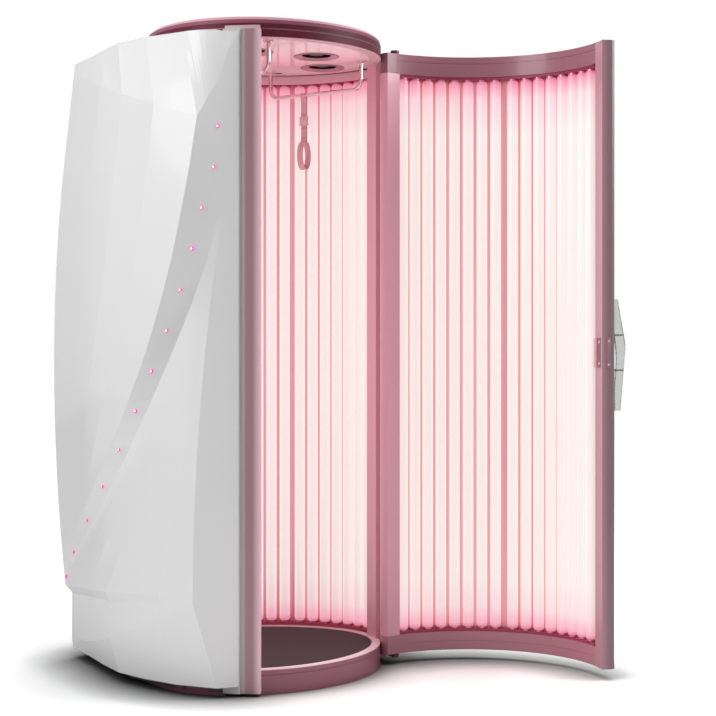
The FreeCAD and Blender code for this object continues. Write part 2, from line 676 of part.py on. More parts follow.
def strap(x):
    """Webbing: an eye over the bar, two plies sewn together and the hand loop."""
    y0 = STRAP_Y - STRAP_W / 2
    eye, loop = strap_outline(x, STRAP_T)
    eye_room, loop_room = strap_outline(x, 0)
    low_z = RAIL_Z - STRAP_STEM - STRAP_T
    stem = box(x - STRAP_T, x + STRAP_T, y0, y0 + STRAP_W, low_z, RAIL_Z - RAIL_R)
    return fused([eye, loop, stem]).cut(eye_room).cut(loop_room)


def straps():
    for side, name in ((-1, "left"), (1, "right")):
        x = side * RAIL_X
        z = RAIL_Z - BUCKLE_DROP
        half_w = STRAP_W / 2
        edge = half_w + BUCKLE_EDGE
        outer = box(x - BUCKLE_T / 2, x + BUCKLE_T / 2, STRAP_Y - edge, STRAP_Y + edge,
                    z - BUCKLE_H / 2, z + BUCKLE_H / 2)
        slot = box(x - STRAP_T, x + STRAP_T, STRAP_Y - half_w, STRAP_Y + half_w, z - BUCKLE_H, z + BUCKLE_H)
        keep("hand_strap_" + name, strap(x))
        keep("strap_buckle_" + name, outer.cut(slot))


# ---- casings ----------------------------------------------------------------------------------------
def swell(z):
    """How far the casing swells at a height, seen in plan."""
    reach = SWELL_BELOW if z < SWELL_Z else SWELL_ABOVE
    return CASING_SWELL * max(0.0, 1 - ((z - SWELL_Z) / reach) ** 2)


def body_crease(z):
    """Plan point of the crease between the front facet and the side facet."""
    share = (PEAK_Z - z) / (PEAK_Z - CREASE_LOW_FRONT)
    return chord_points(CREASE_PEAK, CREASE_FOOT, [1 - (1 - share) ** 2])[0]


def plan_x(outline, y):
    """Width of a smooth curve through some plan points, at a depth."""
    last = len(outline) - 1
    index = min(max(sum(1 for point in outline if point[1] < y) - 1, 0), last - 1)
    (x0, y0), (x1, y1) = outline[index], outline[index + 1]
    lead, trail = outline[max(index - 1, 0)], outline[min(index + 2, last)]
    span = y1 - y0
    slope0 = (x1 - lead[0]) / (y1 - lead[1]) * span
    slope1 = (trail[0] - x0) / (trail[1] - y0) * span
    t = (y - y0) / span
    if t < 0:
        return x0 + slope0 * t
    start = (1 + 2 * t) * (1 - t) ** 2 * x0 + t * (1 - t) ** 2 * slope0
    return start + t * t * (3 - 2 * t) * x1 - t * t * (1 - t) * slope1


def bent_points(start, end, offset, count):
    """Points between two plan points, bent as far from their chord as the casing's plan is there."""
    outline = shifted(CASING_PLAN, offset)
    x0 = plan_x(outline, start[1])
    x1 = plan_x(outline, end[1])
    points = []
    for step in range(1, count + 1):
        share = step / count
        x, y = chord_points(start, end, [share])[0]
        points.append((x + plan_x(outline, y) - x0 - (x1 - x0) * share, y))
    return points


def rear_corner(offset):
    """Plan point of the casing's rear corner."""
    return shifted(CASING_PLAN, offset)[-1]


def upper_level(z, rear_z, edge, foot):
    """Plan of a level through the plate: front facet, side facet, band and plate."""
    offset = swell(rear_z) + PLATE_PROUD
    plate = bent_points(edge, rear_corner(offset), offset, PLATE_COLUMNS + 1)
    if foot is None:
        front = [CASING_FRONT] + chord_points(CASING_FRONT, edge, FRONT_SHARES)
        return front + [edge] + plate
    crease = body_crease(z)
    front = [CASING_FRONT] + chord_points(CASING_FRONT, crease, [0.5]) + [crease]
    return front + bent_points(crease, foot, swell(z), SIDE_COLUMNS + 1) + [edge] + plate


def lower_level(offset, crease):
    """Plan of a level below the plate: front facet and one long side facet."""
    outline = shifted(CASING_PLAN, offset)
    foot, edge = chord_points(outline[-1], outline[-2], TAIL_SHARES)
    front = [CASING_FRONT] + chord_points(CASING_FRONT, crease, [0.5]) + [crease]
    tail_points = chord_points(edge, outline[-1], PLATE_TAIL_SHARES)
    return front + bent_points(crease, foot, offset, SIDE_COLUMNS + 1) + [edge] + tail_points + [outline[-1]]


def slanted(front, low, rear, bend):
    """Heights of one level: at the post, then from the crease towards the rear corner."""
    steps = SIDE_COLUMNS + 1
    falling = [rear + (low - rear) * (1 - step / steps) ** bend for step in range(steps + 1)]
    return [front, (front + low) / 2 + CREASE_BOW] + falling + [rear] * (PLATE_COLUMNS + 2)


def in_space(plan, heights):
    return [vec(*point, z) for point, z in zip(plan, heights)]


def casing_levels():
    """Every level of the casing from bottom to top, as points in space."""
    base = lower_level(BASE_PROUD, CASING_PLAN[0])
    levels = [in_space(base, [BASE_TOP] * len(base))]
    tip = swell(TIP_Z1) + PLATE_PROUD
    rows = ((CREASE_LOW_POST, CREASE_LOW_FRONT, CREASE_LOW_REAR, CREASE_BEND, LOWER_PROUD),
            (TIP_Z0, TIP_Z0 + TIP_SLANT, TIP_Z0, 1, LOWER_PROUD),
            (TIP_Z1, TIP_Z1 + TIP_SLANT, TIP_Z1, 1, tip))
    for front, low, rear, bend, offset in rows:
        plan = lower_level(offset, body_crease(low))
        levels.append(in_space(plan, slanted(front, low, rear, bend)))
    for share, edge, foot in CASING_LEVELS:
        z = share * SHELL_TOP
        plan = upper_level(z, z, edge, foot)
        levels.append(in_space(plan, [z] * len(plan)))
    plan = upper_level(CREASE_HIGH_FRONT, CREASE_HIGH_REAR, PLATE_CORNER, None)
    rise = (CREASE_HIGH_REAR - CREASE_HIGH_FRONT) / (PLATE_COLUMNS + 1)
    heights = [SHELL_TOP - drop for drop in TOP_CREASE_DROPS]
    heights += [CREASE_HIGH_FRONT + rise * step for step in range(PLATE_COLUMNS + 2)]
    levels.append(in_space(plan, heights))
    front = curve_points([CASING_FRONT] + list(TOP_PLAN), SIDE_COLUMNS + 4)
    rear = curve_points([TOP_PLAN[-1]] + list(CASING_PLAN[2:]), PLATE_COLUMNS + 1)
    top = [CASING_FRONT] + front + rear
    levels.append(in_space(top, [SHELL_TOP] * len(top)))
    return levels


def casing_body(levels, inset, overrun):
    """Closed body whose outside is the faceted casing; its inside lies in the lamp circle."""
    wires = []
    for index, level in enumerate(levels):
        shift = {0: -overrun, len(levels) - 1: overrun}.get(index, 0.0)
        plan = shifted([(p.x, p.y) for p in level], -inset)
        points = [vec(*spot, p.z + shift) for spot, p in zip(plan, level)]
        corner = vec(points[-1].x + 2 * inset, points[-1].y, points[-1].z)
        points[-1] = corner
        points.append(vec(corner.x, LAMP_RING_R - LAMP_DIA, corner.z))
        points.append(vec(inset - POST_R0 * math.sin(math.radians(JAMB_A0)), -DOORWAY_BACK, points[0].z))
        wires.append(Part.makePolygon(points + [points[0]]))
    return Part.makeLoft(wires, True, True)


def casings(levels):
    """Hollow casing, and the cabin's upper front corners cut back to fit inside it."""
    shell = casing_body(levels, 0.0, 0.0).cut(casing_body(levels, CASING_WALL, 2.0))
    post_room = cylinder(POST_R1 + SEAT_GAP, 0, 0, 0, SHELL_TOP + 1)
    keep("casing_left", largest(shell.cut(post_room)))
    outside = box(*CORNER_ROOM, CREASE_HIGH_FRONT, SHELL_TOP)
    outside = outside.cut(casing_body(levels, CASING_WALL + SEAT_GAP, 2.0))
    for name in ("cabin_reflector", "cabin_lampholders_top"):
        keep(name, largest(PARTS[name].cut(outside).cut(mirrored(outside))))


def rear_panel(levels):
    """Service panel between the two casings, with an air grille near the top."""
    wires = []
    for level in levels:
        corner = level[-1]
        x = corner.x + SEAT_GAP
        inner = corner.y - CASING_WALL
        outline = [vec(x, corner.y, corner.z), vec(-x, corner.y, corner.z),
                   vec(-x, inner, corner.z), vec(x, inner, corner.z)]
        wires.append(Part.makePolygon(outline + [outline[0]]))
    panel = Part.makeLoft(wires, True, True)
    for row in range(GRILLE_SLOTS):
        z = SHELL_TOP - GRILLE_DROP + GRILLE_PITCH * row
        panel = panel.cut(box(-GRILLE_HALF_W, GRILLE_HALF_W, RACK_Y, 2 * RACK_Y, z, z + GRILLE_SLOT_H))
    keep("rear_panel", panel)


def roof_deck(level):
    z1 = SHELL_TOP + PANEL
    deck = behind_doorway(casing_outline(level, 1.0, SHELL_TOP, z1), SHELL_TOP, z1)
    deck = deck.cut(disc_outline(CANOPY_RX, CANOPY_FRONT, -SEAT_GAP, SHELL_TOP - 1, z1 + 1))
    keep("roof_deck", largest(deck.cut(post_notches())))


def band_middle(z):
    """Plan point in the middle of the band at a height."""
    tip = rear_corner(swell(TIP_Z1) + PLATE_PROUD)
    rows = [(TIP_Z1, tip, tip)]
    for share, edge, foot in CASING_LEVELS:
        rows.append((share * SHELL_TOP, edge, foot or CASING_FRONT))
    rows.append((CREASE_HIGH_FRONT, PLATE_CORNER, CASING_FRONT))
    index = min(sum(1 for row in rows[1:] if row[0] <= z), len(rows) - 2)
    (z0, edge0, foot0), (z1, edge1, foot1) = rows[index], rows[index + 1]
    share = (z - z0) / (z1 - z0)
    edge, foot = chord_points(edge0, edge1, [share])[0], chord_points(foot0, foot1, [share])[0]
    return chord_points(edge, foot, [0.5])[0]


def light_row():
    """Lights let into the band of the left casing, and their mirror images in the right one."""
    shell = PARTS["casing_left"]
    lights = []
    for step in range(LIGHT_COUNT):
        z = max(LIGHT_Z1, LIGHT_Z0 - LIGHT_PITCH * step)
        x, y = band_middle(z)
        angle = math.degrees(math.atan2(x, -y))
        outside = polar(2 * LAMP_RING_R, angle, z)
        ray = Part.makeLine(outside, polar(LAMP_RING_R, angle, z)).common(shell)
        seat = min((vertex.Point for vertex in ray.Vertexes), key=outside.distanceToPoint)
        inward = polar(-1, angle)
        lights.append(Part.makeCylinder(LIGHT_R, LIGHT_DEPTH, seat - inward * LIGHT_PROUD, inward))
    left = largest(shell.cut(Part.makeCompound(lights)))
    keep("casing_left", left)
    keep("casing_right", mirrored(left))
    keep("lights_left", *lights)
    keep("lights_right", *[mirrored(light) for light in lights])


# ---- electrics at the back -------------------------------------------------------------------------------
def ballasts():
    """Folded rack behind the lamps with its ballasts and the control box."""
    z1 = CEILING_Z - RACK_DROP
    half = RACK_HALF_W
    back = RACK_Y + SHEET
    rack = box(-half, half, RACK_Y, back, BASE_TOP, z1)
    fold0 = box(-half, -half + SHEET, RACK_Y, RACK_Y + RACK_FOLD, BASE_TOP, z1)
    fold1 = box(half - SHEET, half, RACK_Y, RACK_Y + RACK_FOLD, BASE_TOP, z1)
    keep("ballast_rack", fused([rack, fold0, fold1]))
    box_z1 = z1 - BALLAST_RISE / 2
    box_z0 = box_z1 - CONTROL_BOX_H
    rows = int((box_z0 - BASE_TOP - BALLAST_RISE) / BALLAST_PITCH)
    units = []
    for column in range(BALLAST_COLUMNS):
        x = (column + 0.5 - BALLAST_COLUMNS / 2) * 2 * half / BALLAST_COLUMNS
        for row in range(rows):
            z = BASE_TOP + BALLAST_RISE + row * BALLAST_PITCH
            units.append(box(x - BALLAST_W / 2, x + BALLAST_W / 2, back, back + BALLAST_T, z, z + BALLAST_L))
    keep("ballasts", *units)
    edge = half - CONTROL_BOX_EDGE
    keep("control_box", box(-edge, edge, back, back + CONTROL_BOX_T, box_z0, box_z1))


def cable_gland(levels):
    """Gland for the mains lead, low in the rear panel."""
    low = max((level[-1] for level in levels if level[-1].z <= GLAND_Z), key=lambda p: p.z)
    high = min((level[-1] for level in levels if level[-1].z > GLAND_Z), key=lambda p: p.z)
    outer_y = low.y + (high.y - low.y) * (GLAND_Z - low.z) / (high.z - low.z)
    inner_y = outer_y - CASING_WALL - GLAND_NUT_T
    gland = pin_y(GLAND_R, GLAND_L, GLAND_X, inner_y, GLAND_Z)
    nut = pin_y(GLAND_NUT_R, GLAND_NUT_T, GLAND_X, outer_y + SEAT_GAP, GLAND_Z)
    bore = pin_y(GLAND_BORE_R, 2 * GLAND_L, GLAND_X, inner_y - 1, GLAND_Z)
    keep("cable_gland", gland.fuse(nut).cut(bore))
    hole = pin_y(GLAND_R + RUN_FIT, 2 * GLAND_L, GLAND_X, inner_y - 1, GLAND_Z)
    keep("rear_panel", PARTS["rear_panel"].cut(hole))


# ---- door ------------------------------------------------------------------------------------------------
def tail(r0, r1, reach_r, z0, z1):
    """Rounded nose behind the hinge, inside the circle that clears platform and canopy."""
    hinge = polar(HINGE_R, HINGE_A)
    reach = cylinder(reach_r, hinge.x, hinge.y, z0, z1)
    return sector(r0, r1, LEAF_HINGE_A, LEAF_FREE_A, z0, z1).common(reach)


def hinge_bore(shape):
    hinge = polar(HINGE_R, HINGE_A)
    return shape.cut(cylinder(HINGE_PIN_R + RUN_FIT, hinge.x, hinge.y, DOOR_Z0 - 1, DOOR_Z1 + 1))


def door_rail(z0, z1, seam_z):
    """Curved rail across the door, with its nose at the hinge and a shadow seam along it."""
    span = sector(LEAF_R0, RAIL_R1, -JAMB_A0, LEAF_HINGE_A, z0, z1)
    rail = fused([span, tail(LEAF_R0, LEAF_R1, TAIL_R, z0, z1)])
    seam = sector(LEAF_R0 - 1, LEAF_R0 + SEAM_DEPTH, -JAMB_A0 - 1, LEAF_HINGE_A, seam_z, seam_z + SEAM_W)
    return hinge_bore(rail.cut(seam))


def door_frame():
    """Rails, hollow posts, outer skin and the bright wall behind the lamps."""
    keep("door_header", swung(door_rail(HEADER_Z0, DOOR_Z1, DOOR_Z1 - HEADER_SEAM_DROP)))
    keep("door_sill", swung(door_rail(DOOR_Z0, SILL_Z1, DOOR_Z0 + SILL_SEAM_RISE)))
    r0, r1 = LEAF_R0 + POST_WALL, LEAF_R1 - POST_WALL
    side = arc_angle(POST_WALL, LEAF_R0)
    nose = tail(LEAF_R0, LEAF_R1, TAIL_R, SILL_Z1, HEADER_Z0)
    nose_room = tail(r0, r1, TAIL_R - POST_WALL, SILL_Z1 - 1, HEADER_Z0 + 1)
    entry = sector(r0, r1, LEAF_HINGE_A - side, LEAF_HINGE_A + side, SILL_Z1 - 1, HEADER_Z0 + 1)
    keep("door_post_hinge", swung(largest(nose.cut(nose_room.cut(entry)))))
    keep("door_post_free", swung(free_post()))
    skin = sector(RAIL_R1, LEAF_R1, -JAMB_A0, LEAF_HINGE_A, DOOR_Z0, DOOR_Z1)
    keep("door_skin", swung(skin))
    inner = sector(REFLECTOR_R0, REFLECTOR_R0 + SHEET, -JAMB_A0, LEAF_HINGE_A, SILL_Z1, HEADER_Z0)
    keep("door_reflector", swung(inner))


def free_post():
    """Hollow post at the free edge, rounded outside, with a pocket for the latch plate."""
    outer = sector(LEAF_R0, LEAF_R1, -LEAF_FREE_A, -JAMB_A0, DOOR_Z0, DOOR_Z1)
    edges = [edge for edge in outer.Edges if is_outer_corner(edge, -LEAF_FREE_A)]
    outer = outer.makeFillet(LEAF_FILLET, edges)
    side = arc_angle(POST_WALL, LEAF_R0)
    corner = arc_angle(LEAF_FILLET, LEAF_R1)
    z0, z1 = DOOR_Z0 + PANEL, DOOR_Z1 - PANEL
    room = sector(LEAF_R0 + POST_WALL, LEAF_R1 - POST_WALL, -LEAF_FREE_A + corner, -JAMB_A0 - side, z0, z1)
    pocket = sector(LEAF_R0 - 1, LEAF_R0 + LATCH_T, *latch_angles(0.0), *LATCH_Z)
    return outer.cut(room).cut(pocket)


def is_outer_corner(edge, angle):
    """True for the upright edge at the outer radius and the given angle."""
    corner = polar(LEAF_R1, angle)
    ends = [vertex.Point for vertex in edge.Vertexes]
    return len(ends) == 2 and all(math.hypot(p.x - corner.x, p.y - corner.y) < 0.01 for p in ends)


def door_lamps():
    lamps = lamp_row(lamp_angles(DOOR_GROUP_STARTS), SILL_Z1 + HOLDER_H, HEADER_Z0 - HOLDER_H)
    keep("door_lamps", *[swung(lamp) for lamp in lamps])
    r0, r1 = LAMP_RING_R - DOOR_HOLDER_HALF_W, LAMP_RING_R + DOOR_HOLDER_HALF_W
    a0, a1 = HOLDER_START_A - JAMB_A0, LEAF_HINGE_A - LEAF_FREE_GAP_A
    low = sector(r0, r1, a0, a1, SILL_Z1, SILL_Z1 + HOLDER_H)
    top = sector(r0, r1, a0, a1, HEADER_Z0 - HOLDER_H, HEADER_Z0)
    keep("door_lampholders", swung(low), swung(top))


def hinge_plate(hinge, seat, z0, z1):
    """Flat bar with round ends between the hinge and its seat on the post."""
    along = vec(seat.x - hinge.x, seat.y - hinge.y)
    side = vec(-along.y, along.x)
    side.normalize()
    side = side * BRACKET_R
    corners = [hinge + side, seat + side, seat - side, hinge - side]
    bar = polygon([(p.x, p.y) for p in corners], z0, z1)
    ends = [cylinder(BRACKET_R, spot.x, spot.y, z0, z1) for spot in (hinge, seat)]
    return fused([bar] + ends)


def hinges():
    """Brackets on the right cabin post carry the two pins that the door turns on."""
    hinge = polar(HINGE_R, HINGE_A)
    seat_a = HINGE_POST_A + arc_angle(BRACKET_R + PANEL, POST_R1)
    seat = polar(POST_R1 - BRACKET_R - BRACKET_SEAT_IN, seat_a)
    z0 = DOOR_Z1 + HINGE_GAP
    z1 = z0 + BRACKET_TOP_T
    top = hinge_plate(hinge, seat, z0, z1).fuse(cylinder(BRACKET_R, seat.x, seat.y, POST_TOP, z1))
    keep("hinge_bracket_top", top.cut(cylinder(HINGE_PIN_R, hinge.x, hinge.y, z0 - 1, z1 + 1)))
    low_z1 = DOOR_Z0 - HINGE_GAP
    low_z0 = low_z1 - BRACKET_LOW_T
    low = hinge_plate(hinge, seat, low_z0, low_z1)
    post = sector(POST_R0 - SEAT_GAP, POST_R1 + SEAT_GAP, HINGE_POST_A - 0.05, POST_A1 + 5, 0, PLATFORM_TOP)
    low = low.cut(post).cut(disc_outline(PLATFORM_RX, PLATFORM_FRONT, -SEAT_GAP, 0, PLATFORM_TOP))
    keep("hinge_bracket_bottom", largest(low).cut(cylinder(HINGE_PIN_R, hinge.x, hinge.y, 0, low_z1 + 1)))
    head = cylinder(HINGE_HEAD_R, hinge.x, hinge.y, z1, z1 + PIN_HEAD_H)
    pin_top = fused([head, cylinder(HINGE_PIN_R, hinge.x, hinge.y, DOOR_Z1 - HINGE_PIN_L, z1)])
    foot = cylinder(HINGE_FOOT_R, hinge.x, hinge.y, low_z0 - PIN_FOOT_H, low_z0)
    pin_low = fused([foot, cylinder(HINGE_PIN_R, hinge.x, hinge.y, low_z0, DOOR_Z0 + HINGE_PIN_L)])
    keep("hinge_pins", pin_top, pin_low)


# ---- latch and handle -------------------------------------------------------------------------------------
def latch_angles(clearance):
    """Sides of the latch plate on the free post."""
    inset = LATCH_EDGE_A + arc_angle(clearance, LEAF_R0)
    return inset - LEAF_FREE_A, -JAMB_A0 - inset


def latch():
    """Flush plate with two screws."""
    z0, z1 = LATCH_Z
    plate = sector(LEAF_R0, LEAF_R0 + LATCH_T, *latch_angles(SEAT_GAP), z0 + SEAT_GAP, z1 - SEAT_GAP)
    screws = []
    for z in (z0 + LATCH_SCREW_INSET, z1 - LATCH_SCREW_INSET):
        face = polar(LEAF_R0 - 1, HANDLE_A, z)
        inward = polar(1, HANDLE_A)
        plate = plate.cut(Part.makeCylinder(LATCH_SCREW_R + RUN_FIT, LATCH_T + 2, face, inward))
        head = Part.makeCylinder(LATCH_SCREW_R, LATCH_T, face, inward)
        screws.append(head.common(sector(LEAF_R0, LEAF_R0 + LATCH_T, *latch_angles(0.0), z0, z1)))
    keep("latch_plate", swung(plate))
    keep("latch_screws", *[swung(screw) for screw in screws])


def handle_blade():
    """Clear plate, wide at its bend and narrow at both ends, as it stands off the door's outside."""
    outer = [vec(out, 0, z) for out, z in HANDLE_OUTER]
    inner = Part.BSplineCurve()
    inner.interpolate([vec(out, 0, z) for out, z in HANDLE_INNER])
    low, bend, high = outer
    ends = [Part.makeLine(vec(HANDLE_INNER[-1][0], 0, HANDLE_INNER[-1][1]), low),
            Part.makeLine(high, vec(HANDLE_INNER[0][0], 0, HANDLE_INNER[0][1]))]
    sides = [Part.makeLine(low, bend), Part.makeLine(bend, high), inner.toShape()]
    face = Part.Face(Part.Wire(Part.__sortEdges__(ends + sides)))
    blade = face.extrude(vec(0, HANDLE_T, 0))
    corner = [edge for edge in blade.Edges if edge.distToShape(Part.Vertex(bend))[0] < 0.01
              and abs(edge.Length - HANDLE_T) < 0.01]
    blade = blade.makeFillet(HANDLE_BEND_R, corner)
    blade.translate(vec(LEAF_R1, -HANDLE_T / 2, 0))
    return blade


def handle():
    """Clear blade on two pins that pass through it."""
    blade = handle_blade()
    pins = []
    for z in STANDOFF_Z:
        axis = Part.makeLine(vec(LEAF_R1, 0, z), vec(2 * LEAF_R1, 0, z)).common(blade)
        outside = max(vertex.X for vertex in axis.Vertexes)
        bore = Part.makeCylinder(STANDOFF_R + RUN_FIT, outside, vec(LEAF_R1, 0, z), vec(1, 0, 0))
        blade = blade.cut(bore)
        pin = Part.makeCylinder(STANDOFF_R, outside - LEAF_R1, vec(LEAF_R1, 0, z), vec(1, 0, 0))
        foot = Part.makeCylinder(STANDOFF_HEAD_R, STANDOFF_HEAD_T, vec(LEAF_R1, 0, z), vec(1, 0, 0))
        pins.append(pin.fuse(foot).cut(cylinder(LEAF_R1, 0, 0, 0, POST_TOP)))
    pieces = []
    for piece in [blade] + pins:
        piece.rotate(vec(0, 0), vec(0, 0, 1), HANDLE_A - 90)
        pieces.append(swung(piece))
    keep("door_handle", pieces[0])
    keep("handle_standoffs", *pieces[1:])


# ---- build -------------------------------------------------------------------------------------------------
def main():
    levels = casing_levels()
    base_frame(levels[0])
    levelling_feet()
    platform()
    vibration_plate()
    cabin_posts()
    cabin_lamps()
    control_column()
    canopy()
    ceiling()
    fans()
    handrails()
    straps()
    casings(levels)
    light_row()
    rear_panel(levels)
    roof_deck(levels[-1])
    ballasts()
    cable_gland(levels)
    door_frame()
    door_lamps()
    hinges()
    latch()
    handle()
    os.makedirs("parts", exist_ok=True)
    for name, shape in PARTS.items():
        shape.exportStep("parts/" + name + ".step")


main()
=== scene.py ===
import logging
import math
from dataclasses import dataclass, field
from enum import Enum

import bmesh
import bpy
from mathutils import Matrix, Vector


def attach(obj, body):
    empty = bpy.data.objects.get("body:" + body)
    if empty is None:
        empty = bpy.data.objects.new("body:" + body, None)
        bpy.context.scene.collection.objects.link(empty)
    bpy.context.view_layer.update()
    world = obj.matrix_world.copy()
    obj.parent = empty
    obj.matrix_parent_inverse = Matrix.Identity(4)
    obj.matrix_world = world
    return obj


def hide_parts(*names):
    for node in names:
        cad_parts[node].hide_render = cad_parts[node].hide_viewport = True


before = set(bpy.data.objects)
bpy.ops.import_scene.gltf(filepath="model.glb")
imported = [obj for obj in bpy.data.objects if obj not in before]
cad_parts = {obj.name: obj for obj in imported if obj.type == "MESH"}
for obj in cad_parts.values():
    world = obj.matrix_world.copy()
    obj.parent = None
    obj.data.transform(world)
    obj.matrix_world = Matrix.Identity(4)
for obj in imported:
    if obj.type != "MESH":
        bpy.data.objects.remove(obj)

Tree = bpy.types.NodeTree
Socket = bpy.types.NodeSocket
Mesh = bmesh.types.BMesh
Point = tuple[float, float, float]
Stops = tuple[tuple[float, str], ...]

LOG = logging.getLogger("tanning_booth")
MM = 0.001
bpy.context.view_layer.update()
UP = Vector((0.0, 0.0, 1.0))
MERGE = 1e-6  # points of a drawn piece that are nearer than this are one, in metres
SEAM = 1e-5  # the same for a CAD mesh and for the ends of the webbing
COAT_ROUGHNESS = 0.05
WAVE_TURNS = 20.0  # Blender's wave texture multiplies its scale by this


# ---- colour and nodes ------------------------------------------------------------------
def srgb(code: str, factor: float = 1.0) -> tuple[float, float, float, float]:
    """Turns a hex colour into linear light.

    Args:
        code: Colour as rrggbb.
        factor: Makes the linear light darker or lighter.

    Returns:
        Linear red, green and blue, and full opacity.
    """
    channels = [int(code[i:i + 2], 16) / 255 for i in (0, 2, 4)]
    linear = [c / 12.92 if c <= 0.04045 else ((c + 0.055) / 1.055) ** 2.4 for c in channels]
    return (*[c * factor for c in linear], 1.0)


def add_node(tree: Tree, kind: str, inputs: dict | None = None, **settings) -> bpy.types.Node:
    """Adds one shader node with its settings, values and links.

    Args:
        tree: Node tree that takes the node.
        kind: Blender's class name of the node.
        inputs: Socket name or number to a value or to another node's output.
        settings: Attributes of the node.

    Returns:
        The new node.
    """
    node = tree.nodes.new(kind)
    for name, value in settings.items():
        setattr(node, name, value)
    for socket, value in (inputs or {}).items():
        if isinstance(value, Socket):
            tree.links.new(value, node.inputs[socket])
        else:
            node.inputs[socket].default_value = value
    return node


def ramp(node: bpy.types.Node, stops: Stops, factor: float = 1.0) -> Socket:
    """Fills a colour ramp.

    Args:
        node: Colour ramp node.
        stops: Place and hex colour of each stop.
        factor: Makes every stop's linear light darker or lighter.

    Returns:
        The colour output.
    """
    band = node.color_ramp
    while len(band.elements) < len(stops):
        band.elements.new(0.5)
    for element, (place, colour) in zip(band.elements, stops):
        element.position = place
        element.color = srgb(colour, factor)
    return node.outputs["Color"]


@dataclass(frozen=True)
class Finish:
    """One real material: its colour, gloss and fine surface."""

    name: str
    colour: str
    roughness: float
    metallic: float = 0.0
    ior: float = 1.5
    coat: float = 0.0
    specular: float = 0.5
    transmission: float = 0.0
    grain_mm: float = 0.0
    grain_depth: float = 0.0
    mottle: float = 0.06
    mottle_mm: float = 300.0
    glow: float = 0.0
    relief: float = 0.5

    def colour_field(self, tree: Tree, place: Socket) -> Socket:
        """Colour over the surface: one tone with a slow drift.

        Args:
            tree: Node tree of the material.
            place: Object coordinates.

        Returns:
            Colour socket.
        """
        cloud = add_node(tree, "ShaderNodeTexNoise", {
            "Vector": place, "Scale": 1000 / self.mottle_mm, "Detail": 3.0})
        return add_node(tree, "ShaderNodeMixRGB", {
            "Fac": cloud.outputs["Fac"], "Color1": srgb(self.colour),
            "Color2": srgb(self.colour, 1 - self.mottle)}).outputs[0]

    def surface(self, tree: Tree, place: Socket) -> Socket | None:
        """Fine relief of the surface, or None where it is too fine to show.

        Args:
            tree: Node tree of the material.
            place: Object coordinates.

        Returns:
            Normal socket or None.
        """
        if self.grain_mm <= 0:
            return None
        grain = add_node(tree, "ShaderNodeTexNoise", {
            "Vector": place, "Scale": 1000 / self.grain_mm, "Detail": 2.0})
        return add_node(tree, "ShaderNodeBump", {
            "Height": grain.outputs["Fac"], "Strength": self.relief,
            "Distance": self.grain_depth * MM}).outputs[0]

    def make(self) -> bpy.types.Material:
        """Makes the material from its colour field, relief and constant values."""
        material = bpy.data.materials.new(self.name)
        material.use_nodes = True
        tree = material.node_tree
        tree.nodes.clear()
        place = add_node(tree, "ShaderNodeTexCoord").outputs["Object"]
        values = {"Base Color": self.colour_field(tree, place), "Roughness": self.roughness,
                  "Metallic": self.metallic, "IOR": self.ior, "Coat Weight": self.coat,
                  "Coat Roughness": COAT_ROUGHNESS, "Specular IOR Level": self.specular,
                  "Transmission Weight": self.transmission}
        relief = self.surface(tree, place)
        if relief is not None:
            values["Normal"] = relief
        if self.glow > 0:
            values["Emission Color"] = srgb(self.colour)
            values["Emission Strength"] = self.glow
        body = add_node(tree, "ShaderNodeBsdfPrincipled", values)
        add_node(tree, "ShaderNodeOutputMaterial", {"Surface": body.outputs[0]})
        material.diffuse_color = srgb(self.colour)
        self.extra(tree, body, place)
        return material

    def extra(self, tree: Tree, body: bpy.types.Node, place: Socket) -> None:
        """Links that only some finishes have."""


@dataclass(frozen=True)
class Banded(Finish):
    """A finish whose colour changes along one direction, from low to high in metres."""

    along: Point = (0.0, 0.0, 1.0)
    low: float = 0.0
    high: float = 1.0
    stops: Stops = ()

    def share(self, tree: Tree, place: Socket) -> Socket:
        """How far a point is from low to high.

        Args:
            tree: Node tree of the material.
            place: Object coordinates.

        Returns:
            Share from 0 to 1.
        """
        reach = add_node(tree, "ShaderNodeVectorMath", {0: place, 1: self.along},
                         operation="DOT_PRODUCT").outputs["Value"]
        return add_node(tree, "ShaderNodeMapRange", {
            "Value": reach, "From Min": self.low, "From Max": self.high}).outputs[0]

    def tint(self, tree: Tree, place: Socket, factor: float = 1.0) -> Socket:
        """The colour bands along the piece.

        Args:
            tree: Node tree of the material.
            place: Object coordinates.
            factor: Makes every stop's linear light darker or lighter.

        Returns:
            Colour socket.
        """
        return ramp(add_node(tree, "ShaderNodeValToRGB", {0: self.share(tree, place)}),
                    self.stops, factor)

    def colour_field(self, tree: Tree, place: Socket) -> Socket:
        """Colour bands along the piece."""
        return self.tint(tree, place)


@dataclass(frozen=True)
class Phosphor(Banded):
    """Lamp glass lit from inside, with deeper ends round the electrodes."""

    body_tint: float = 0.35

    def colour_field(self, tree: Tree, place: Socket) -> Socket:
        """The glass itself is a dimmer form of the light's tint."""
        return self.tint(tree, place, self.body_tint)

    def extra(self, tree: Tree, body: bpy.types.Node, place: Socket) -> None:
        """Light of the phosphor along the lamp."""
        tree.links.new(self.tint(tree, place), body.inputs["Emission Color"])


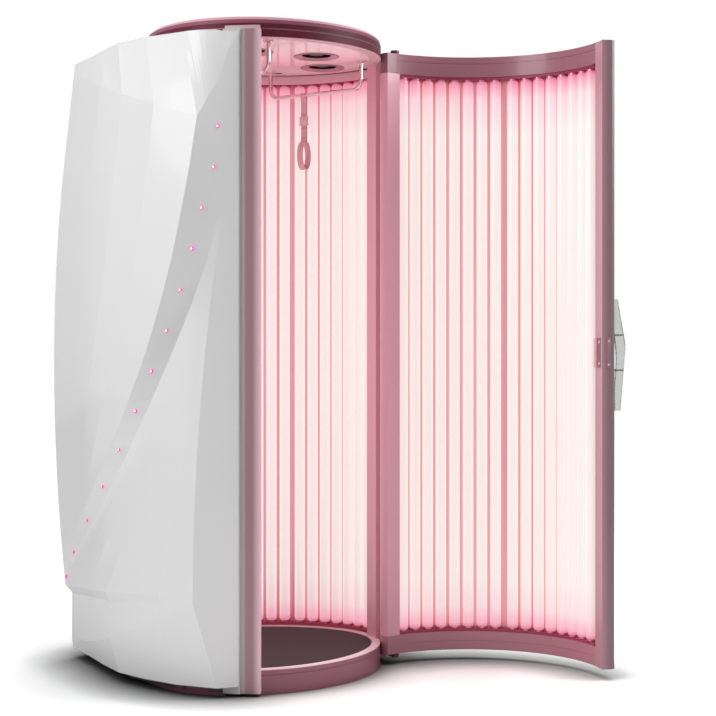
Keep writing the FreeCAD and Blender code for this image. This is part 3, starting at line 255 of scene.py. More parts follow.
@dataclass(frozen=True)
class Woven(Finish):
    """Flat woven webbing: ribs across the strap and a finer thread along it."""

    relief: float = 0.7
    rib_mm: float = 1.6
    thread_mm: float = 0.9

    def surface(self, tree: Tree, place: Socket) -> Socket:
        """Ribs along the length crossed by threads, in relief."""
        ribs = add_node(tree, "ShaderNodeTexWave", {
            "Vector": place, "Scale": 1000 / self.rib_mm / WAVE_TURNS, "Distortion": 0.4},
            bands_direction="Z")
        threads = add_node(tree, "ShaderNodeTexWave", {
            "Vector": place, "Scale": 1000 / self.thread_mm / WAVE_TURNS, "Distortion": 0.3},
            bands_direction="Y")
        both = add_node(tree, "ShaderNodeMath", {0: ribs.outputs["Fac"], 1: threads.outputs["Fac"]},
                        operation="MULTIPLY")
        return add_node(tree, "ShaderNodeBump", {
            "Height": both.outputs[0], "Strength": self.relief,
            "Distance": self.grain_depth * MM}).outputs[0]


@dataclass(frozen=True)
class ClearSheet(Finish):
    """Clear sheet with painted grey shade on its edges, standing in for the light that leaves them
    sideways.
    """

    painted_edge_shade: str = "7a7e7e"
    edge_blend: float = 0.35

    def colour_field(self, tree: Tree, place: Socket) -> Socket:
        """Painted shade: darker where the sheet is seen along its surface."""
        rim = add_node(tree, "ShaderNodeLayerWeight", {"Blend": self.edge_blend})
        return add_node(tree, "ShaderNodeMixRGB", {
            "Fac": rim.outputs["Facing"], "Color1": srgb(self.colour),
            "Color2": srgb(self.painted_edge_shade)}).outputs[0]


# ---- finishes --------------------------------------------------------------------------
# Lamp glass from end to end: rosy round the electrodes, warm white between them.
LAMP_TINTS = ((0.0, "dc6c8c"), (0.012, "ffbccb"), (0.04, "ffe4e5"), (0.09, "fff1ed"),
              (0.9, "fff1ed"), (0.962, "ffdce0"), (0.99, "fba4ba"), (1.0, "dc6c8c"))
# Canopy edge from its lip up: rose lip, maroon side with a painted highlight line on its step, then
# a painted lighter upper band and a painted highlight on its crown.
CANOPY_TONES_AND_HIGHLIGHTS = ((0.0, "e4b3bf"), (0.025, "5f2233"), (0.36, "5f2233"), (0.375, "b08090"),
                (0.415, "b08090"), (0.43, "5f2233"), (0.65, "5f2233"), (0.67, "955a6b"),
                (0.83, "955a6b"), (0.86, "e0b4c0"))
# Fine orange peel of a powder coat, and the finer grain of moulded plastic.
PEEL = {"grain_mm": 1.2, "grain_depth": 0.02}
MOULDED = {"grain_mm": 1.0, "grain_depth": 0.02}


class Look(Enum):
    """Every finish of the booth."""

    # Lacquered ABS panels: bright white under a clear gloss, a trace of ripple from the mould.
    CASING = Finish("lacquered_white_abs", "ececec", 0.42, coat=0.25, mottle=0.03)
    # Powder-coated aluminium rails in rose: even, softly glossy, fine orange peel.
    ROSE = Finish("rose_powder_coat", "9c6271", 0.36, coat=0.2, **PEEL)
    # Sill, fascia and control column: paler copies of the rose powder coat, painted lighter for the
    # lamps' light that falls on them.
    SILL = Finish("rose_powder_coat_sill_painted_lit", "c08391", 0.36, coat=0.2, **PEEL)
    FASCIA = Finish("rose_powder_coat_fascia_painted_lit", "fbc9d4", 0.36, coat=0.2, **PEEL)
    # Rolled post, mauve, with painted light across it: a painted pale highlight at its outer edge
    # where the studio light catches it, and painted rose lamp light at its inner lip.
    POST_LEFT = Banded("anodised_post_left_painted_light", "a07a84", 0.34, coat=0.2, along=(0.469, -0.883, 0.0),
                       low=-0.008, high=0.057,
                       stops=((0.0, "d0cccc"), (0.35, "a07a84"), (0.65, "a07a84"),
                              (1.0, "ecc2cd")))
    POST_CAP = Finish("moulded_post_cap_abs", "cfb3ba", 0.4, coat=0.1, **MOULDED)
    # Canopy edge: deep maroon lacquer with painted highlights on its step, upper band and crown.
    CANOPY = Banded("lacquered_canopy_rim_painted_highlights", "5a1f30", 0.45, specular=0.15, low=2.107, high=2.174,
                    stops=CANOPY_TONES_AND_HIGHLIGHTS)
    STEEL = Finish("painted_steel", "5a5356", 0.5, grain_mm=1.5, grain_depth=0.03)
    # Platform rim: rose sides growing lighter upwards, with painted pale lamp light on its top lip.
    PLINTH = Banded("enamelled_plinth_painted_lit_lip", "9c5d72", 0.34, coat=0.3, low=0.0765, high=0.081,
                    stops=((0.0, "9a5a6e"), (0.5, "b0798a"), (0.7, "fbdde4"), (1.0, "fbdde4")))
    LAMP = Phosphor("phosphor_coated_glass", "ffe9e8", 0.22, low=0.092, high=2.076,
                    stops=LAMP_TINTS, glow=0.7)
    DOOR_LAMP = Phosphor("phosphor_coated_door_glass", "ffe9e8", 0.22, low=0.110, high=2.058,
                         stops=LAMP_TINTS, glow=0.7)
    LAMP_CAP = Finish("spun_aluminium_lamp_cap", "d88aa2", 0.35, metallic=0.6, mottle=0.1)
    HOLDER = Finish("pink_lampholder_pbt", "b0415d", 0.45, mottle=0.2)
    REFLECTOR = Finish("bright_anodised_aluminium", "f3b6c3", 0.28, metallic=0.35, mottle=0.05)
    CEILING = Finish("gloss_rose_acrylic", "ffe9ee", 0.12, coat=0.6, mottle=0.04)
    # Ribbed rubber: dark, almost without gloss, fine pimples for grip.
    RUBBER = Finish("pimpled_rubber_mat", "4a383d", 0.85, ior=1.35, grain_mm=3.0, grain_depth=0.2,
                    mottle=0.08, mottle_mm=20.0)
    PLATE = Finish("mill_aluminium", "9c9c9c", 0.35, metallic=0.9, grain_mm=0.8, grain_depth=0.02)
    CHROME = Finish("polished_chrome", "ebccd3", 0.12, metallic=1.0, mottle=0.02)
    WEBBING = Woven("nylon_webbing", "f2b8c4", 0.8, grain_depth=0.3, mottle=0.12, mottle_mm=12.0)
    THREAD = Finish("waxed_sewing_thread", "b06f80", 0.7, mottle=0.1, mottle_mm=2.0)
    BUCKLE = Finish("nickelled_strap_sleeve", "ecc3cd", 0.3, metallic=0.35, mottle=0.05)
    FAN = Finish("moulded_maroon_nylon", "3a1620", 0.5, grain_mm=1.0, grain_depth=0.03, mottle=0.2)
    FAN_BELL = Finish("gloss_fan_bell_abs", "a86478", 0.25, coat=0.3, mottle=0.06)
    DIODE = Finish("pink_diode_ring", "e62f9a", 0.2, coat=0.5, glow=0.75)
    DIODE_CORE = Finish("lit_diode_core", "ffe2f2", 0.2, glow=0.9)
    ELECTRIC = Finish("grey_moulded_housing", "c9c9c9", 0.5, grain_mm=1.0, grain_depth=0.03)
    BUTTON = Finish("satin_button_abs", "e9e4e6", 0.4, grain_mm=0.8, grain_depth=0.02)
    HINGE = Finish("hinge_steel", "6b3547", 0.35, metallic=0.5)
    # Hinge posts: a pale copy of the rose powder coat, painted lighter for the lamps' light beside
    # them.
    HINGE_POST = Finish("rose_powder_coat_post_painted_lit", "f4b6c5", 0.36, coat=0.2, **PEEL)
    # Door post: mauve, painted rose on its side towards the lamps for their light, darkening to
    # greyed mauve outside.
    FREE_POST = Banded("anodised_free_post_painted_lamp_light", "947680", 0.36, coat=0.15,
                       along=(0.7695, -0.6387, 0.0), low=1.0476, high=1.0956,
                       stops=((0.0, "bd8b98"), (0.4, "96757e"), (1.0, "80696f")))
    ACRYLIC = ClearSheet("clear_cast_acrylic", "dfe4e2", 0.06, ior=1.49, transmission=0.75)
    PIN = Finish("dark_nickel_pin", "6a6a6e", 0.3, metallic=0.8)
    LATCH = Finish("satin_latch_zinc", "8a5064", 0.35, metallic=0.3)
    CATCH = Finish("moulded_catch_nylon", "dcb0bc", 0.45, **MOULDED)
    LATCH_END = Finish("pressed_latch_cover", "a4808b", 0.35, metallic=0.2, coat=0.2)


NODE_LOOKS = {
    Look.CASING: ("casing_left", "casing_right", "rear_panel", "roof_deck", "door_skin"),
    Look.ROSE: ("door_header",),
    Look.SILL: ("door_sill",),
    Look.FASCIA: ("cabin_header", "control_column"),
    Look.POST_LEFT: ("post_left",),
    Look.POST_CAP: ("post_caps",),
    Look.HINGE_POST: ("post_right", "door_post_hinge"),
    Look.FREE_POST: ("door_post_free",),
    Look.PLINTH: ("platform_rim",),
    Look.CANOPY: ("roof_canopy",),
    Look.STEEL: ("base_frame", "levelling_feet", "vibration_motor", "ballast_rack"),
    Look.LAMP: ("cabin_lamps",),
    Look.DOOR_LAMP: ("door_lamps",),
    Look.HOLDER: ("cabin_lampholders_top", "cabin_lampholders_bottom", "door_lampholders"),
    Look.REFLECTOR: ("cabin_reflector", "door_reflector"),
    Look.CEILING: ("ceiling_panel",),
    Look.RUBBER: ("standing_mat", "plate_buffers"),
    Look.PLATE: ("vibration_plate",),
    Look.CHROME: ("handrail_left", "handrail_right", "handrail_flanges", "latch_screws"),
    Look.PIN: ("handle_standoffs",),
    Look.BUCKLE: ("strap_buckle_left", "strap_buckle_right"),
    Look.WEBBING: ("hand_strap_left", "hand_strap_right"),
    Look.FAN: ("fan_frames", "fan_rotor_1", "fan_rotor_2", "fan_rotor_3"),
    Look.DIODE: ("lights_left", "lights_right"),
    Look.ELECTRIC: ("ballasts", "control_box", "cable_gland"),
    Look.BUTTON: ("control_bezel", "button_start", "button_stop"),
    Look.HINGE: ("hinge_bracket_top", "hinge_bracket_bottom", "hinge_pins"),
    Look.ACRYLIC: ("door_handle",),
    Look.LATCH: ("latch_plate",),
}


class Palette:
    """Makes each finish once and gives it to nodes and pieces."""

    def __init__(self) -> None:
        """Makes every material."""
        self.materials = {look: look.value.make() for look in Look}

    def dress(self, node: str, look: Look) -> None:
        """Gives a CAD node a finish.

        Args:
            node: Name of the node.
            look: Its finish.
        """
        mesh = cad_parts[node].data
        mesh.materials.clear()
        mesh.materials.append(self.materials[look])

    def dress_nodes(self) -> None:
        """Gives every CAD node its finish."""
        for look, nodes in NODE_LOOKS.items():
            for node in nodes:
                self.dress(node, look)

    def piece(self, name: str, grown: Mesh, look: Look, body: str, slot: str,
              crease_deg: float = 30.0) -> bpy.types.Object:
        """Turns a finished bmesh into an object that rides on a body.

        Args:
            name: Name of the piece.
            grown: Its shape, in place; it is freed here.
            look: Its finish.
            body: CAD body that it moves with.
            slot: Material slot of the record; not used.
            crease_deg: Edges sharper than this stay hard.

        Returns:
            The new object.
        """
        bmesh.ops.remove_doubles(grown, verts=grown.verts, dist=MERGE)
        bmesh.ops.recalc_face_normals(grown, faces=grown.faces)
        for face in grown.faces:
            face.smooth = True
        for edge in grown.edges:
            edge.smooth = edge.calc_face_angle(0.0) < math.radians(crease_deg)
        mesh = bpy.data.meshes.new(name)
        grown.to_mesh(mesh)
        grown.free()
        mesh.materials.append(self.materials[look])
        made = bpy.data.objects.new(name, mesh)
        bpy.context.collection.objects.link(made)
        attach(made, body)
        LOG.info("%s: %d faces", name, len(mesh.polygons))
        return made


# ---- shaping ---------------------------------------------------------------------------
def node_copy(node: str) -> Mesh:
    """Copies a CAD node's mesh and closes its split seams.

    Args:
        node: Name of the node.

    Returns:
        A new bmesh in the shared frame.
    """
    grown = bmesh.new()
    grown.from_mesh(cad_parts[node].data)
    bmesh.ops.remove_doubles(grown, verts=grown.verts, dist=SEAM)
    return grown


def solids_of(node: str) -> list[list[Vector]]:
    """Corners of each separate solid of a CAD node.

    Args:
        node: Node of one or more solids.

    Returns:
        One list of points for each solid, from the lowest solid up.
    """
    grown = node_copy(node)
    waiting = set(grown.verts)
    groups = []
    while waiting:
        edge_of_group = [waiting.pop()]
        group = []
        while edge_of_group:
            vert = edge_of_group.pop()
            group.append(vert.co.copy())
            for edge in vert.link_edges:
                other = edge.other_vert(vert)
                if other in waiting:
                    waiting.remove(other)
                    edge_of_group.append(other)
        groups.append(group)
    grown.free()
    return sorted(groups, key=lambda points: (round(min(p.z for p in points), 4), points[0].x))


def middle(points: list[Vector]) -> Vector:
    """Middle of the box round some points.

    Args:
        points: Corners of a solid.

    Returns:
        The box's middle.
    """
    low = Vector([min(p[i] for p in points) for i in range(3)])
    high = Vector([max(p[i] for p in points) for i in range(3)])
    return (low + high) / 2


def add_turned(grown: Mesh, profile: list[tuple[float, float]], place: Matrix, steps: int) -> None:
    """Adds a turned shape to a bmesh.

    Args:
        grown: Bmesh that takes the shape.
        profile: Radius and height pairs in metres, along the axis.
        place: Moves the axis from +Z at the origin to its place.
        steps: Flats round the circle.
    """
    verts = [grown.verts.new((radius, 0.0, height)) for radius, height in profile]
    edges = [grown.edges.new(pair) for pair in zip(verts, verts[1:])]
    before = set(grown.verts) - set(verts)
    bmesh.ops.spin(grown, geom=verts + edges, cent=(0, 0, 0), axis=(0, 0, 1), dvec=(0, 0, 0),
                   angle=2 * math.pi, steps=steps, use_merge=True)
    new = [vert for vert in grown.verts if vert not in before]
    bmesh.ops.remove_doubles(grown, verts=new, dist=MERGE)
    new = [vert for vert in grown.verts if vert not in before]
    bmesh.ops.transform(grown, matrix=place, verts=new)


def add_block(grown: Mesh, size: tuple[float, float, float], place: Matrix, edge: float,
              segments: int = 3) -> None:
    """Adds a block with rounded edges to a bmesh.

    Args:
        grown: Bmesh that takes the block.
        size: Lengths along X, Y and Z in metres.
        place: Moves the block from the origin to its place.
        edge: Radius of its edges.
        segments: Steps of the rounding.
    """
    made = bmesh.ops.create_cube(grown, size=1.0)
    bmesh.ops.scale(grown, vec=size, verts=made["verts"])
    edges = list({e for vert in made["verts"] for e in vert.link_edges})
    made = bmesh.ops.bevel(grown, geom=edges, offset=edge, offset_type="OFFSET", segments=segments,
                           profile=0.5, affect="EDGES", material=-1, clamp_overlap=True)
    rounded = {vert for face in made["faces"] for vert in face.verts}
    linked = rounded | {vert for old in rounded for link in old.link_edges for vert in link.verts}
    bmesh.ops.transform(grown, matrix=place, verts=list(linked))


def facing_out(place: Vector, outward: Vector) -> Matrix:
    """Turns +Z to a direction and moves the origin to a place.

    Args:
        place: Where the origin goes.
        outward: Direction that +Z takes.

    Returns:
        The matrix of both moves.
    """
    return Matrix.Translation(place) @ outward.to_track_quat("Z", "Y").to_matrix().to_4x4()


# ---- sub-assemblies --------------------------------------------------------------------
@dataclass
class Casings:
    """White faceted side casings and their rows of lights."""

    palette: Palette
    facet_deg: float = 9.0
    ring_radius: float = 7.6 * MM
    ring_flats: int = 20
    core_radius: float = 3.4 * MM
    core_flats: int = 16
    proud: float = 0.9 * MM

    def build_shell(self, side: str) -> None:
        """Makes a casing whose facets shade smoothly up to their creases.

        Args:
            side: left or right.
        """
        node = "casing_" + side
        shell = self.palette.piece(node + "_facets", node_copy(node), Look.CASING, "cabin",
                                   "casing_white", self.facet_deg)
        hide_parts(node)

    def build_lights(self, side: str) -> None:
        """Makes the domed ring and the lit core of each light.

        Args:
            side: left or right.
        """
        rings, cores = bmesh.new(), bmesh.new()
        for points in solids_of("lights_" + side):
            centre = middle(points)
            outward = Vector((centre.x, centre.y, 0.0)).normalized()
            reach = max((point - centre).dot(outward) for point in points)
            place = facing_out(centre + outward * reach, outward)
            ring, core, proud = self.ring_radius, self.core_radius, self.proud
            add_turned(rings, [(ring, -proud), (ring, proud * 0.3), (ring * 0.85, proud * 0.8),
                               (core * 1.4, proud), (core, proud * 0.4), (core, -proud)],
                       place, self.ring_flats)
            add_turned(cores, [(core * 0.98, -proud), (core * 0.98, proud * 0.5),
                               (core * 0.7, proud * 1.1), (core * 0.35, proud * 1.35),
                               (0.0, proud * 1.4)], place, self.core_flats)
        self.palette.piece("light_rings_" + side, rings, Look.DIODE, "cabin", "light_lens")
        self.palette.piece("light_cores_" + side, cores, Look.DIODE_CORE, "cabin", "light_lens")

    def build(self) -> None:
        """Both sides."""
        for side in ("left", "right"):
            self.build_shell(side)
            self.build_lights(side)


@dataclass
class Lamps:
    """Fluorescent lamps with waisted ends and their caps."""

    palette: Palette
    glass_radius: float = 19.0 * MM
    waist_radius: float = 16.4 * MM
    glass_flats: int = 28
    cap_length: float = 7.0 * MM
    cap_proud: float = 0.4 * MM
    cap_bevel: float = 1.0 * MM
    cap_dish: float = 4.0 * MM
    cap_lip: float = 2.0 * MM
    cap_flats: int = 20
    shoulder: float = 9.0 * MM

    def build_row(self, node: str, look: Look, body: str) -> None:
        """Every lamp of a node, in place of its plain tubes.

        Args:
            node: CAD node of the lamps.
            look: Finish of the glass.
            body: CAD body that they move with.
        """
        glass, caps = bmesh.new(), bmesh.new()
        for points in solids_of(node):
            centre = middle(points)
            low, high = min(p.z for p in points), max(p.z for p in points)
            place = Matrix.Translation((centre.x, centre.y, 0.0))
            for turned in (1, -1):
                end = low if turned > 0 else high
                tip, bevel, mouth = [end + turned * step
                                     for step in (0.0, self.cap_bevel, self.cap_length)]
                side = self.waist_radius + self.cap_proud
                add_turned(caps, [(self.waist_radius - self.cap_dish, tip), (side, bevel),
                                  (side, mouth), (self.waist_radius - self.cap_lip, mouth)],
                           place, self.cap_flats)
            rise = [(self.waist_radius, self.cap_length - self.cap_bevel),
                    (self.waist_radius, self.cap_length + self.cap_bevel),
                    (self.glass_radius * 0.965, self.cap_length + self.shoulder * 0.45),
                    (self.glass_radius, self.cap_length + self.shoulder)]
            profile = [(radius, low + step) for radius, step in rise]
            profile += [(radius, high - step) for radius, step in reversed(rise)]
            add_turned(glass, profile, place, self.glass_flats)
        tubes = self.palette.piece(node + "_glass", glass, look, body, "lamp_glass")
        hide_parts(node)
        self.palette.piece(node + "_caps", caps, Look.LAMP_CAP, body, "lampholder_plastic")

    def build(self) -> None:
        """Cabin and door lamps."""
        self.build_row("cabin_lamps", Look.LAMP, "cabin")
        self.build_row("door_lamps", Look.DOOR_LAMP, "door")


@dataclass
class Ceiling:
    """Bell mouths round the fans in the ceiling."""

    palette: Palette
    fans: tuple[tuple[float, float], ...] = ((0.090, -0.133), (-0.120, -0.015), (0.294, 0.0))
    ceiling_z: float = 2.107
    outer_radius: float = 71.5 * MM
    lip_radius: float = 79.0 * MM
    throat_radius: float = 50.0 * MM
    flats: int = 48

    def build(self) -> None:
        """One bell mouth round each fan, below the ceiling's face."""
        bells = bmesh.new()
        for x, y in self.fans:
            place = Matrix.Translation((x, y, self.ceiling_z))
            lip, out, throat = self.lip_radius, self.outer_radius, self.throat_radius
            add_turned(bells, [(lip, -0.0002), (lip - 0.001, -0.0022), (lip - 0.004, -0.0034),
                               (out, -0.003), (throat + 0.012, 0.0005), (throat + 0.002, 0.0025),
                               (throat, 0.0035), (throat + 0.002, 0.0037),
                               (out - 0.0005, 0.001), (out, -0.0004), (lip, -0.0002)],
                       place, self.flats)
        self.palette.piece("fan_bells", bells, Look.FAN_BELL, "cabin", "ceiling_plastic")


@dataclass
class HandStrap:
    """Webbing folded over the handrail, with its sleeve, stitching and hand loop."""

    palette: Palette
    side: str
    rail_x: float
    rail_z: float = 2.008
    rail_radius: float = 7.0 * MM
    centre_y: float = 0.050
    width: float = 25.0 * MM
    thickness: float = 2.0 * MM
    stem: float = 165.0 * MM
    loop_height: float = 100.0 * MM
    loop_width: float = 46.0 * MM
    sleeve_drop: float = 92.0 * MM
    sleeve_height: float = 32.0 * MM
    sleeve_depth: float = 11.4 * MM
    sleeve_border: float = 8.0 * MM
    sleeve_edge: float = 2.4 * MM
    band_proud: float = 0.3 * MM
    band_wider: float = 1.0 * MM
    band_height: float = 6.0 * MM
    band_edge: float = 1.4 * MM
    ply_gap: float = 0.1 * MM
    rail_gap: float = 0.2 * MM
    crease_deg: float = 50.0
    cross_cuts: int = 3
    loop_steps: int = 16
    stitch_size: Point = (0.6 * MM, 2.1 * MM, 0.8 * MM)
    stitch_edge: float = 0.22 * MM
    stitch_proud: float = 0.4 * MM
    stitch_pitch: float = 3.2 * MM
    stitch_count: int = 7
    stitch_levels: tuple[float, ...] = (-0.030, -0.066, -0.070, -0.114, -0.118, -0.155, -0.151)

    def path(self) -> list[tuple[float, float]]:
        """Middle line of the webbing in X and Z, round from the rail's top and back to it."""
        ply = self.thickness / 2 + self.ply_gap
        over = self.rail_radius + ply + self.rail_gap
        right = [(over * math.sin(a), over * math.cos(a)) for a in (0.0, 0.5, 1.0, 1.5, 2.0, 2.5)]
        right += [(ply * 1.9, -0.016), (ply * 1.2, -0.026)]
        right += [(ply, z) for z in (-0.040, -0.075, -0.110, -0.145, -self.stem + 0.004)]
        half_w = self.loop_width / 2 + ply
        half_h = self.loop_height / 2 + ply
        mid = -self.stem - self.loop_height / 2
        for step in range(1, self.loop_steps):
            angle = math.pi * step / self.loop_steps
            right.append((max(ply, half_w * math.sin(angle)), mid + half_h * math.cos(angle)))
        bottom = [(0.0, mid - half_h)]
        left = [(-x, z) for x, z in reversed(right[1:])]
        return right + bottom + left

    def build_webbing(self) -> None:
        """One band drawn along the path and given its thickness."""
        grown = bmesh.new()
        near = self.centre_y - self.width / 2
        points = [Vector((self.rail_x + x, near, self.rail_z + z)) for x, z in self.path()]
        across = Vector((0.0, self.width, 0.0))
        start = [grown.verts.new(points[0]), grown.verts.new(points[0] + across)]
        edge = grown.edges.new(start)
        for before, after in zip(points, points[1:] + points[:1]):
            drawn = bmesh.ops.extrude_edge_only(grown, edges=[edge])["geom"]
            verts = [item for item in drawn if isinstance(item, bmesh.types.BMVert)]
            edge = next(item for item in drawn if isinstance(item, bmesh.types.BMEdge)
                        and all(vert in verts for vert in item.verts))
            bmesh.ops.translate(grown, vec=after - before, verts=verts)
        bmesh.ops.remove_doubles(grown, verts=grown.verts, dist=SEAM)
        cross = [item for item in grown.edges if item.calc_length() > self.width * 0.9]
        bmesh.ops.subdivide_edges(grown, edges=cross, cuts=self.cross_cuts, use_grid_fill=True)
        bmesh.ops.recalc_face_normals(grown, faces=grown.faces)
        bmesh.ops.solidify(grown, geom=grown.faces[:], thickness=self.thickness)
        strap = self.palette.piece("webbing_" + self.side, grown, Look.WEBBING,
                                   "strap_" + self.side, "strap_webbing", self.crease_deg)
        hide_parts("hand_strap_" + self.side)

    def build_stitches(self) -> None:
        """Rows of stitches under the rail, on both sides of the sleeve and over the loop."""
        grown = bmesh.new()
        face = self.thickness + self.stitch_proud
        for level in self.stitch_levels:
            for step in range(self.stitch_count):
                y = self.centre_y + (step - self.stitch_count // 2) * self.stitch_pitch
                for side in (-1, 1):
                    place = Matrix.Translation((self.rail_x + side * face, y, self.rail_z + level))
                    add_block(grown, self.stitch_size, place, self.stitch_edge, 1)
        self.palette.piece("stitches_" + self.side, grown, Look.THREAD, "strap_" + self.side,
                           "strap_webbing")

    def build_sleeve(self) -> None:
        """Rounded sleeve that holds the two plies, with a raised band round each end."""
        grown = bmesh.new()
        z = self.rail_z - self.sleeve_drop
        place = Matrix.Translation((self.rail_x, self.centre_y, z))
        depth, height = self.sleeve_depth, self.sleeve_height
        width = self.width + self.sleeve_border
        add_block(grown, (depth, width, height * 0.9), place, self.sleeve_edge)
        proud = 2 * self.band_proud
        for end in (-1, 1):
            middle_z = z + end * (height - self.band_height) / 2
            band = Matrix.Translation((self.rail_x, self.centre_y, middle_z))
            size = (depth + proud, width + self.band_wider, self.band_height)
            add_block(grown, size, band, self.band_edge, 2)
        sleeve = self.palette.piece("sleeve_" + self.side, grown, Look.BUCKLE,
                                    "strap_" + self.side, "buckle_metal")
        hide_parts("strap_buckle_" + self.side)

    def build(self) -> None:
        """Webbing, stitches and sleeve."""
        self.build_webbing()
        self.build_stitches()
        self.build_sleeve()


@dataclass
class DoorTrim:
    """Cover of the latch on the end of the door's free post, and the catch beside the lamps."""

    palette: Palette
    hinge: tuple[float, float] = (0.362546, -0.26876)
    opened_deg: float = 108.3
    post_ends_deg: tuple[float, float] = (-62.1, -53.9)
    latch_z: float = 1.093
    latch_height: float = 100.0 * MM
    cover_radius: float = 0.4555
    cover_width: float = 14.0 * MM
    cover_thickness: float = 1.6 * MM
    screw_inset: float = 11.0 * MM
    screw_flats: int = 20
    screw_profile: tuple[tuple[float, float], ...] = (
        (0.0036, -0.0004), (0.0036, 0.0004), (0.0026, 0.0009), (0.0009, 0.0009), (0.0007, 0.0002),
        (0.0, 0.0002))
    catch_radius: float = 0.4400
    catch_depth: float = 11.0 * MM
    catch_reach: float = 20.0 * MM
    catch_edge: float = 1.8 * MM

    def on_post_end(self, radius: float, angle_deg: float, outward: int) -> Matrix:
        """Place on an end face of the post: X along the radius, Y up and Z away from the post.

        Args:
            radius: Distance from the cabin's axis, with the door closed.
            angle_deg: Angle of the end face.
            outward: -1 for the free end, 1 for the lamps' side.

        Returns:
            Matrix from that place to the open door's place.
        """
        angle = math.radians(angle_deg)
        along = Vector((math.sin(angle), -math.cos(angle), 0.0)) * outward
        away = Vector((math.cos(angle), math.sin(angle), 0.0)) * outward
        centre = Vector((radius * math.sin(angle), -radius * math.cos(angle), self.latch_z))
        basis = Matrix((along, UP, away)).transposed().to_4x4()
        pivot = Vector((*self.hinge, 0.0))
        turn = Matrix.Rotation(math.radians(self.opened_deg), 4, "Z")
        return Matrix.Translation(pivot) @ turn @ Matrix.Translation(centre - pivot) @ basis

    def build_cover(self) -> None:
        """Rounded cover with two countersunk screws."""
        at_end = self.on_post_end(self.cover_radius, self.post_ends_deg[0], -1)
        cover, screws = bmesh.new(), bmesh.new()
        thick = self.cover_thickness
        add_block(cover, (self.cover_width, self.latch_height, thick),
                  at_end @ Matrix.Translation((0, 0, thick / 2)), thick * 0.4, 2)
        for end in (-1, 1):
            up = end * (self.latch_height / 2 - self.screw_inset)
            place = at_end @ Matrix.Translation((0.0, up, thick))
            add_turned(screws, self.screw_profile, place, self.screw_flats)
        self.palette.piece("latch_cover", cover, Look.LATCH_END, "door", "latch_metal")
        self.palette.piece("latch_cover_screws", screws, Look.CHROME, "door", "hinge_steel")

    def build_catch(self) -> None:
        """Moulded catch on the post's side towards the lamps."""
        at_side = self.on_post_end(self.catch_radius, self.post_ends_deg[1], 1)
        catch = bmesh.new()
        add_block(catch, (self.catch_depth, self.latch_height, self.catch_reach),
                  at_side @ Matrix.Translation((0, 0, self.catch_reach / 2)), self.catch_edge)
        self.palette.piece("latch_catch", catch, Look.CATCH, "door", "latch_metal")

    def build(self) -> None:
        """Cover, screws and catch, drawn on the closed door and swung open with it."""
        self.build_cover()
        self.build_catch()


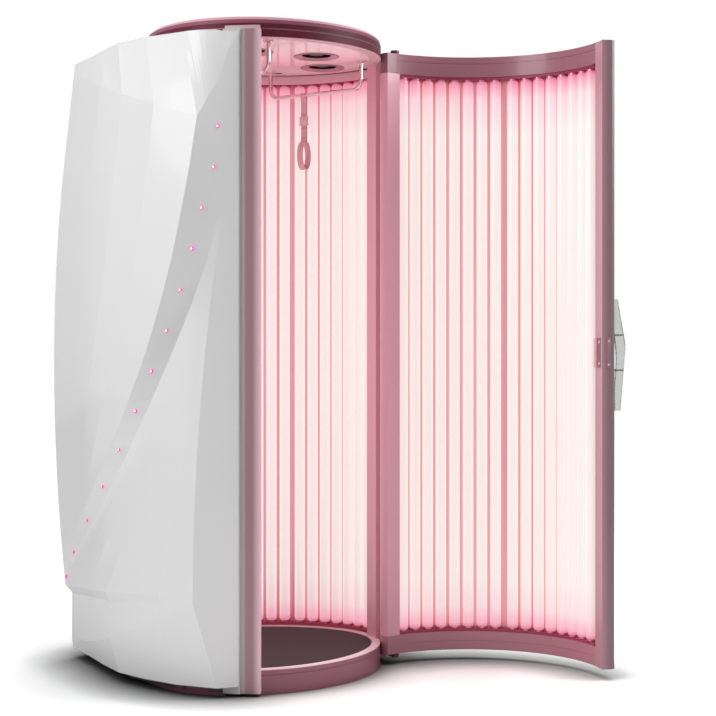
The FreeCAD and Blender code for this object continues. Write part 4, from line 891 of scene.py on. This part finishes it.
# ---- studio ----------------------------------------------------------------------------
@dataclass
class Studio:
    """Floor, soft lights and the camera."""

    camera_at: Point = (-4.428, -3.703, 1.153)
    facing: tuple[float, float] = (0.7997, 0.6003)
    lens_mm: float = 84.37
    shift_y: float = -0.0324
    sensor_mm: float = 36.0
    sky: str = "5c5c5e"
    gloss_of_sky: float = 0.6
    floor_half: float = 12.0
    floor_tone: str = "f4f4f4"
    shadow_tone: str = "3a3a3a"
    shadow_from: float = 0.75
    shadow_to: float = 1.6
    shadow_least: float = 0.15
    # Reach, strength and samples of the painted contact shadow.
    painted_shadow_reach: float = 0.22
    painted_shadow_depth: float = 2.2
    painted_shadow_samples: int = 8
    lamps_aim: Point = (0.0, -0.2, 1.1)
    lamps: list[tuple[Point, float, float]] = field(default_factory=lambda: [
        ((-4.0, 1.0, 3.0), 2.4, 94.0),
        ((2.6, -3.6, 3.2), 2.2, 112.0),
        ((0.0, 0.0, 5.0), 3.0, 150.0),
        ((-3.0, -3.0, 0.8), 2.0, 8.0)])

    def floor_material(self) -> bpy.types.Material:
        """Pale floor that takes the shadow, with a painted contact shadow from ambient occlusion
        near the booth, and shows white to the camera beyond it.
        """
        material = bpy.data.materials.new("studio_floor")
        material.use_nodes = True
        tree = material.node_tree
        tree.nodes.clear()
        place = add_node(tree, "ShaderNodeTexCoord").outputs["Object"]
        reach = add_node(tree, "ShaderNodeVectorMath", {0: place}, operation="LENGTH")
        lift = add_node(tree, "ShaderNodeMapRange", {
            "Value": reach.outputs["Value"], "From Min": self.shadow_from,
            "From Max": self.shadow_to, "To Min": self.shadow_least, "To Max": 1.0})
        # Painted contact shadow: ambient occlusion darkens the floor's glow and its colour towards
        # shadow_tone.
        near = add_node(tree, "ShaderNodeAmbientOcclusion", {"Distance": self.painted_shadow_reach},
                        samples=self.painted_shadow_samples)
        painted_shadow = add_node(tree, "ShaderNodeMath", {0: near.outputs["AO"], 1: self.painted_shadow_depth},
                           operation="POWER").outputs[0]
        seen = add_node(tree, "ShaderNodeLightPath").outputs["Is Camera Ray"]
        lit = add_node(tree, "ShaderNodeMath", {0: lift.outputs[0], 1: painted_shadow},
                       operation="MULTIPLY").outputs[0]
        strength = add_node(tree, "ShaderNodeMath", {0: lit, 1: seen}, operation="MULTIPLY")
        glow = add_node(tree, "ShaderNodeEmission", {
            "Color": srgb("ffffff"), "Strength": strength.outputs[0]})
        tone = add_node(tree, "ShaderNodeMixRGB", {
            "Fac": painted_shadow, "Color1": srgb(self.shadow_tone), "Color2": srgb(self.floor_tone)})
        body = add_node(tree, "ShaderNodeBsdfDiffuse", {"Color": tone.outputs[0]})
        both = add_node(tree, "ShaderNodeAddShader", {0: glow.outputs[0], 1: body.outputs[0]})
        add_node(tree, "ShaderNodeOutputMaterial", {"Surface": both.outputs[0]})
        return material

    def build_floor(self) -> None:
        """Wide floor under the booth."""
        mesh = bpy.data.meshes.new("studio_floor")
        grown = bmesh.new()
        bmesh.ops.create_grid(grown, x_segments=1, y_segments=1, size=self.floor_half)
        grown.to_mesh(mesh)
        grown.free()
        floor = bpy.data.objects.new("studio_floor", mesh)
        bpy.context.collection.objects.link(floor)
        mesh.materials.append(self.floor_material())

    def build_world(self) -> None:
        """White to the camera and through clear pieces, paler in gloss, grey for all else."""
        world = bpy.data.worlds.new("studio_sky")
        bpy.context.scene.world = world
        world.use_nodes = True
        tree = world.node_tree
        tree.nodes.clear()
        path = add_node(tree, "ShaderNodeLightPath")
        seen = add_node(tree, "ShaderNodeMath", {
            0: path.outputs["Is Camera Ray"], 1: path.outputs["Is Transmission Ray"]},
            operation="MAXIMUM")
        glossy = add_node(tree, "ShaderNodeMath", {
            0: path.outputs["Is Glossy Ray"], 1: self.gloss_of_sky}, operation="MULTIPLY")
        either = add_node(tree, "ShaderNodeMath", {0: seen.outputs[0], 1: glossy.outputs[0]},
                          operation="MAXIMUM")
        colour = add_node(tree, "ShaderNodeMixRGB", {
            "Fac": either.outputs[0], "Color1": srgb(self.sky), "Color2": srgb("ffffff")})
        sky = add_node(tree, "ShaderNodeBackground", {"Color": colour.outputs[0], "Strength": 1.0})
        add_node(tree, "ShaderNodeOutputWorld", {"Surface": sky.outputs[0]})

    def build_lamp(self, name: str, place: Vector, size: float, power: float) -> None:
        """Adds one square soft box that looks at the booth's middle.

        Args:
            name: Name of the lamp.
            place: Where it stands.
            size: Side of the soft box in metres.
            power: Its power in watts.
        """
        light = bpy.data.lights.new(name, "AREA")
        light.size = size
        light.energy = power
        lamp = bpy.data.objects.new(name, light)
        lamp.location = place
        aim = Vector(self.lamps_aim) - place
        lamp.rotation_euler = aim.to_track_quat("-Z", "Y").to_euler()
        bpy.context.collection.objects.link(lamp)

    def build_camera(self) -> None:
        """Long lens at eye height; the small shift frames the booth."""
        data = bpy.data.cameras.new("studio_camera")
        data.lens = self.lens_mm
        data.sensor_width = self.sensor_mm
        data.shift_y = self.shift_y
        camera = bpy.data.objects.new("studio_camera", data)
        camera.location = self.camera_at
        aim = Vector((self.facing[0], self.facing[1], 0.0))
        camera.rotation_euler = aim.to_track_quat("-Z", "Y").to_euler()
        bpy.context.collection.objects.link(camera)
        bpy.context.scene.camera = camera

    def build(self) -> None:
        """Makes the floor, the world, the lights and the camera."""
        self.build_floor()
        self.build_world()
        for index, (place, size, power) in enumerate(self.lamps):
            self.build_lamp("soft_box_%d" % index, Vector(place), size, power)
        self.build_camera()


def main() -> None:
    """Builds the booth's looks round the CAD frame."""
    logging.basicConfig(level=logging.INFO)
    bpy.context.scene.view_settings.view_transform = "Standard"
    palette = Palette()
    Studio().build()
    palette.dress_nodes()
    Casings(palette).build()
    Lamps(palette).build()
    Ceiling(palette).build()
    HandStrap(palette, "left", -0.250).build()
    HandStrap(palette, "right", 0.250).build()
    DoorTrim(palette).build()


if __name__ == "__main__":
    main()
